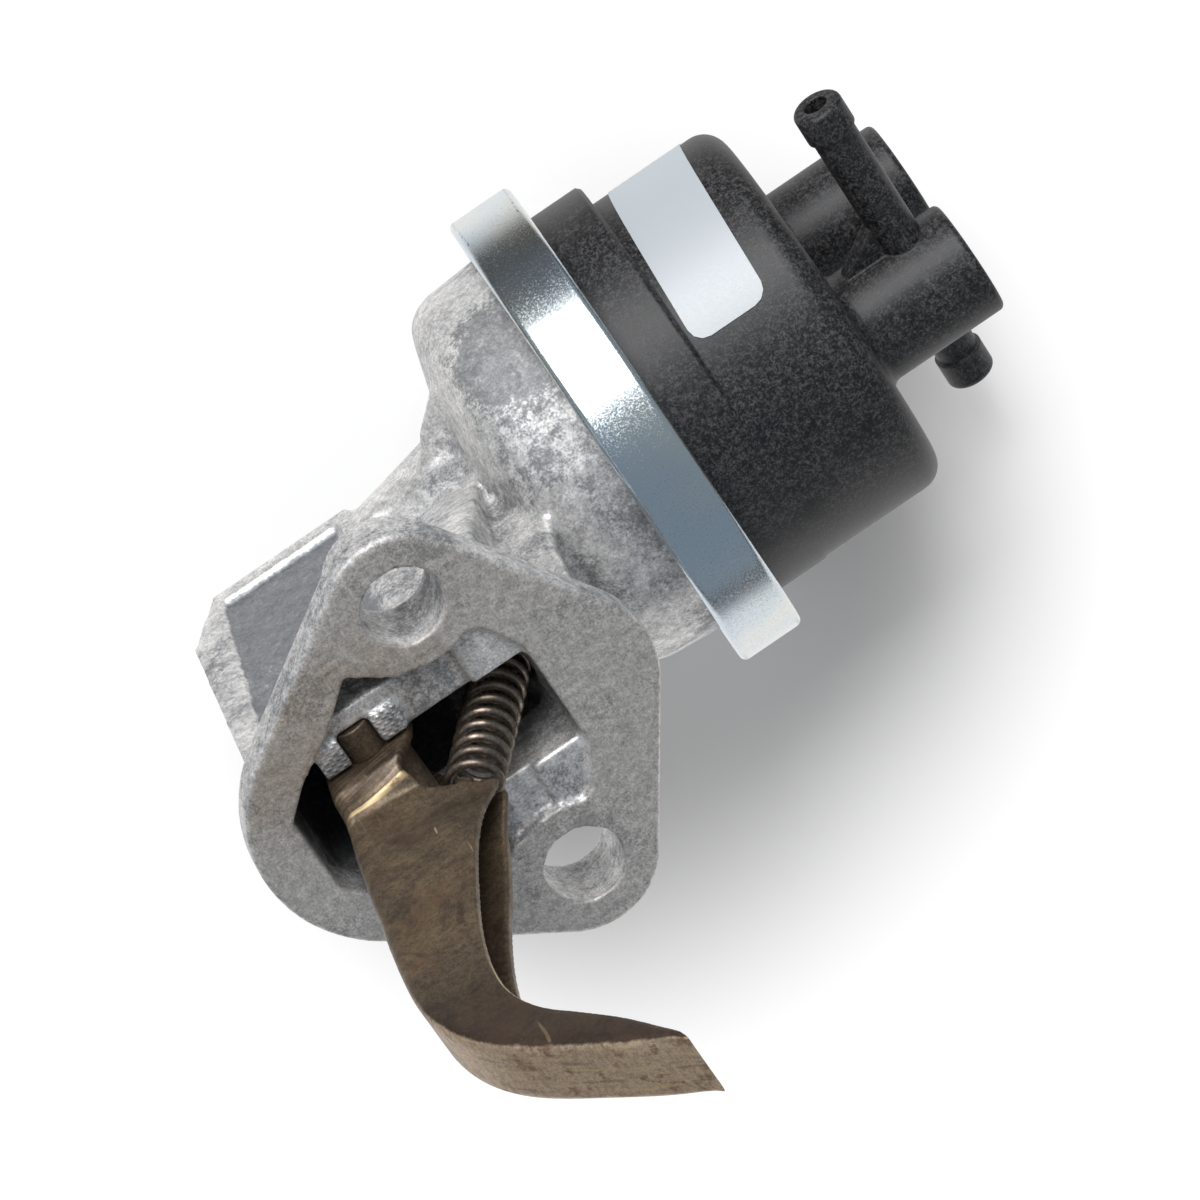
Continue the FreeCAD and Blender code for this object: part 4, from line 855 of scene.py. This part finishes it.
@dataclass
class Casting:
    """Lower housing with the soft edges and blends of a die casting, in millimetres."""

    voxel: float = 0.42
    edge_passes: int = 2
    blend_passes: int = 30
    kept_share: float = 0.52
    blend_low: float = -1.0
    blend_high: float = 21.5
    blend_front: float = 9.5
    low_ramp: float = 2.5
    high_ramp: float = 2.0
    front_ramp: float = 3.0

    def softness(self, place: Vector) -> float:
        """Share of the blending at a place in millimetres."""
        rise = (place.z - self.blend_low) / self.low_ramp
        fall = (self.blend_high - place.z) / self.high_ramp
        back = (place.y - self.blend_front) / self.front_ramp
        return min(rise, fall, back)

    def build(self, workshop: Workshop) -> None:
        """Melt the edges of a merged copy, most of all round the neck."""
        piece = Bench.merged_copy("lower_housing", "housing_casting")
        Bench.apply(piece, "REMESH", mode="VOXEL", voxel_size=self.voxel * MM)
        Bench.apply(piece, "SMOOTH", factor=0.5, iterations=self.edge_passes)
        Bench.weigh(piece, "neck_blend", self.softness)
        Bench.apply(
            piece, "SMOOTH", factor=0.5, iterations=self.blend_passes, vertex_group="neck_blend"
        )
        Bench.apply(piece, "DECIMATE", ratio=self.kept_share)
        bpy.ops.object.shade_smooth()
        workshop.paint(piece, Slot.CASTING.value)
        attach(piece, "housing")
        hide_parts("lower_housing")
        LOG.info("housing_casting: %d faces", len(piece.data.polygons))


@dataclass
class PressedLever:
    """Rocker lever with the rounded folds of pressed sheet and a raised crease, in millimetres."""

    voxel: float = 0.3
    edge_passes: int = 3
    tail_passes: int = 24
    tail_start: float = -44.0
    tail_ramp: float = 8.0
    crease_height: float = 0.78
    crease_above: float = 2.5
    crease_below: float = 1.15
    crease_half: float = 6.2
    crease_taper: float = 2.5
    crease_side: float = -2.5

    def crease(self, place: Vector) -> float:
        """Share of the crease's height at a place in millimetres, on the seen ear alone."""
        away = place.y - CREASE_SLOPE * place.z - CREASE_LINE
        across = 1.0 - away / self.crease_above if away > 0 else 1.0 + away / self.crease_below
        along = 1.0 - abs(place.z - CREASE_MIDDLE) / self.crease_half
        return min(across, self.crease_taper * along) if place.x < self.crease_side else 0.0

    def tail(self, place: Vector) -> float:
        """Share of the tail's rounding at a place in millimetres."""
        return (self.tail_start - place.y) / self.tail_ramp

    def build(self, workshop: Workshop) -> None:
        """Round the folds of a merged copy, most of all at its tail, and raise the crease."""
        piece = Bench.merged_copy("rocker_lever", "pressed_lever")
        Bench.apply(piece, "REMESH", mode="VOXEL", voxel_size=self.voxel * MM)
        Bench.apply(piece, "SMOOTH", factor=0.5, iterations=self.edge_passes)
        Bench.weigh(piece, "tail", self.tail)
        Bench.apply(
            piece, "SMOOTH", factor=0.5, iterations=self.tail_passes, vertex_group="tail"
        )
        Bench.weigh(piece, "crease", self.crease)
        Bench.apply(
            piece,
            "DISPLACE",
            direction="X",
            mid_level=0.0,
            strength=-self.crease_height * MM,
            vertex_group="crease",
        )
        bpy.ops.object.shade_smooth()
        workshop.paint(piece, Slot.LEVER.value)
        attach(piece, "lever")
        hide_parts("rocker_lever")
        LOG.info("pressed_lever: %d faces", len(piece.data.polygons))


@dataclass
class Sticker:
    """Cover label that lies smoothly on the dome."""

    smooth_angle: float = 30.0

    def build(self, workshop: Workshop) -> None:
        """Smooth the strips of a merged copy."""
        piece = Bench.merged_copy("cover_label", "bare_sticker")
        bpy.ops.object.shade_smooth_by_angle(angle=math.radians(self.smooth_angle))
        workshop.paint(piece, Slot.FILM.value)
        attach(piece, "housing")
        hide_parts("cover_label")
        LOG.info("bare_sticker: %d faces", len(piece.data.polygons))


@dataclass
class Studio:
    """Camera, floor and soft light, set by the direction that the photograph was taken from.

    Lengths are in millimetres and angles in degrees. A place, unless it is the eye or the target,
    is given to the right, up and back from the target, as the picture shows it.
    """

    azimuth: float = -31.85
    elevation: float = 0.4
    roll: float = 55.8
    eye: tuple[float, float, float] = (-514.3, -815.3, 26.5)
    lens: float = 239.64
    floor_depth: float = 70.4
    floor_half: float = 1600.0
    target: tuple[float, float, float] = (0.0, 25.0, 25.0)
    sensor: float = 36.0
    key_place: tuple[float, float, float] = (-268.0, 439.0, 737.0)
    key_power: float = 7.7
    key_size: float = 600.0
    card_place: tuple[float, float, float] = (-620.0, 780.0, 0.0)
    card_size: float = 900.0
    card_tone: Colour = (0.09, 0.095, 0.10)
    paper_tone: Colour = (0.94, 0.94, 0.94)
    paper_glow: float = 1.1
    shadow_reach: float = 80.0
    mirror_right: float = 22.0
    mirror_up: float = -32.0
    mirror_bright: float = 110.0
    mirror_dark: float = 215.0
    even_light: float = 0.38
    mirror_light: Colour = (0.22, 0.262, 0.30)

    def __post_init__(self) -> None:
        """Work out the picture's right, up and backward directions."""
        azimuth = math.radians(self.azimuth)
        elevation = math.radians(self.elevation)
        roll = math.radians(self.roll)
        flat = math.cos(elevation)
        forward = math.cos(azimuth) * flat
        self.back = Vector((math.sin(azimuth) * flat, -forward, math.sin(elevation)))
        level = Vector((math.cos(azimuth), math.sin(azimuth), 0.0))
        upright = self.back.cross(level)
        self.right = math.cos(roll) * level + math.sin(roll) * upright
        self.up = -math.sin(roll) * level + math.cos(roll) * upright
        self.middle = Vector(self.target) * MM

    def spot(self, right: float, up: float, back: float) -> Vector:
        """Point at these distances from the middle."""
        return self.middle + (self.right * right + self.up * up + self.back * back) * MM

    def turned(self, facing: Vector) -> Matrix:
        """Rotation whose Z axis points along a direction."""
        return facing.to_track_quat("Z", "Y").to_matrix().to_4x4()

    def build_camera(self) -> None:
        """Camera at the photograph's place, roll and lens."""
        data = bpy.data.cameras.new("camera")
        data.lens = self.lens
        data.sensor_width = self.sensor
        data.clip_start, data.clip_end = 0.05, 20.0
        camera = bpy.data.objects.new("camera", data)
        bpy.context.scene.collection.objects.link(camera)
        axes = Matrix((self.right, self.up, self.back)).transposed().to_4x4()
        camera.matrix_world = Matrix.Translation(Vector(self.eye) * MM) @ axes
        bpy.context.scene.camera = camera

    def build_lamp(self, name: str, place: Vector, power: float, size: float) -> None:
        """Add a square soft lamp that faces the middle of the pump.

        Args:
            name: Name of the lamp.
            place: Its place in metres.
            power: Its power in watts.
            size: Length of its side in millimetres.
        """
        data = bpy.data.lights.new(name, "AREA")
        data.energy = power
        data.size = size * MM
        lamp = bpy.data.objects.new(name, data)
        bpy.context.scene.collection.objects.link(lamp)
        lamp.matrix_world = Matrix.Translation(place) @ self.turned(place - self.middle)
        LOG.info("lamp %s", name)

    def build_floor(self) -> None:
        """Pale sheet that the pump lies on, seen from above in the photograph."""
        size = 2 * self.floor_half * MM
        bpy.ops.mesh.primitive_grid_add(x_subdivisions=8, y_subdivisions=8, size=size)
        floor = bpy.context.object
        floor.name = "floor"
        depth = -(self.middle.dot(self.back) / MM) - self.floor_depth
        centre = self.middle + self.back * depth * MM
        floor.data.transform(Matrix.Translation(centre) @ self.turned(self.back))
        floor.location = (0, 0, 0)
        floor.data.materials.append(self.floor_paper(centre))

    def distance(self, graph: Graph, place: object, point: Vector) -> Socket:
        """Distance of a position from a point, both in metres."""
        ends = {0: place, 1: tuple(point)}
        return graph.add("VectorMath", ends, operation="DISTANCE").outputs["Value"]

    def floor_paper(self, centre: Vector) -> bpy.types.Material:
        """Make the floor's material, which its back doesn't show.

        Args:
            centre: Middle of the floor in metres.

        Returns:
            Paper that takes the pump's shadow round the middle and glows white further out, and
            that reflections see as a bright sheet with a dark surround.
        """
        made = bpy.data.materials.new("floor_paper")
        made.use_nodes = True
        graph = Graph(made.node_tree)
        place = graph.add("TexCoord").outputs["Object"]
        away = self.distance(graph, place, centre)
        reach = self.shadow_reach * MM
        far = graph.remap(away, 0.40 * reach, reach, 0.02, 1.0)
        diffuse = graph.add("BsdfDiffuse", {"Color": self.paper_tone, "Roughness": 0.0})
        glow = graph.add("Emission", {"Color": (1.0, 1.0, 1.0), "Strength": self.paper_glow})
        plain = graph.add("MixShader", {0: far, 1: diffuse.outputs[0], 2: glow.outputs[0]})
        aside = centre + (self.right * self.mirror_right + self.up * self.mirror_up) * MM
        around = self.distance(graph, place, aside)
        strength = graph.remap(around, self.mirror_bright * MM, self.mirror_dark * MM, 0.95, 0.07)
        mirrored = graph.add("Emission", {"Strength": strength})
        glossy = graph.add("LightPath").outputs["Is Glossy Ray"]
        paper = graph.add("MixShader", {0: glossy, 1: plain.outputs[0], 2: mirrored.outputs[0]})
        clear = graph.add("BsdfTransparent")
        behind = graph.add("NewGeometry").outputs["Backfacing"]
        shown = graph.add("MixShader", {0: behind, 1: paper.outputs[0], 2: clear.outputs[0]})
        graph.add("OutputMaterial", {"Surface": shown.outputs[0]})
        return made

    def build_card(self, name: str, place: Vector, size: float, tone: Colour) -> None:
        """Add a card that only reflections show, which gives plated metal its bands.

        Args:
            name: Name of the card.
            place: Its place in metres.
            size: Length of its side in millimetres.
            tone: Colour of its glow.
        """
        bpy.ops.mesh.primitive_grid_add(x_subdivisions=2, y_subdivisions=2, size=size * MM)
        card = bpy.context.object
        card.name = name
        card.data.transform(Matrix.Translation(place) @ self.turned(self.middle - place))
        made = bpy.data.materials.new(name)
        made.use_nodes = True
        graph = Graph(made.node_tree)
        glow = graph.add("Emission", {"Color": tone, "Strength": 1.0})
        graph.add("OutputMaterial", {"Surface": glow.outputs[0]})
        card.data.materials.append(made)
        card.visible_camera = False
        card.visible_diffuse = False
        card.visible_shadow = False

    def build_world(self) -> None:
        """White background for the camera, with an even grey light on the pump."""
        world = bpy.data.worlds.new("room")
        bpy.context.scene.world = world
        world.use_nodes = True
        graph = Graph(world.node_tree)
        path = graph.add("LightPath").outputs
        even = (self.even_light,) * 3
        unseen = graph.mix(path["Is Glossy Ray"], even, self.mirror_light)
        seen = graph.math("MAXIMUM", path["Is Camera Ray"], path["Is Transmission Ray"])
        colour = graph.mix(seen, unseen, (1.0, 1.0, 1.0))
        sky = graph.add("Background", {"Color": colour, "Strength": 1.0})
        graph.add("OutputWorld", {"Surface": sky.outputs[0]})

    def build(self) -> None:
        """Set up the whole studio."""
        bpy.context.scene.view_settings.view_transform = "Standard"
        self.build_camera()
        self.build_world()
        self.build_floor()
        self.build_card("side_card", self.spot(*self.card_place), self.card_size, self.card_tone)
        self.build_lamp("key_lamp", self.spot(*self.key_place), self.key_power, self.key_size)
        LOG.info("studio ready")


def main() -> None:
    """Build the studio and dress the pump."""
    logging.basicConfig(level=logging.INFO, format="%(message)s")
    workshop = Workshop()
    workshop.paint_frame()
    Casting().build(workshop)
    PressedLever().build(workshop)
    Sticker().build(workshop)
    Studio().build()


if __name__ == "__main__":
    main()
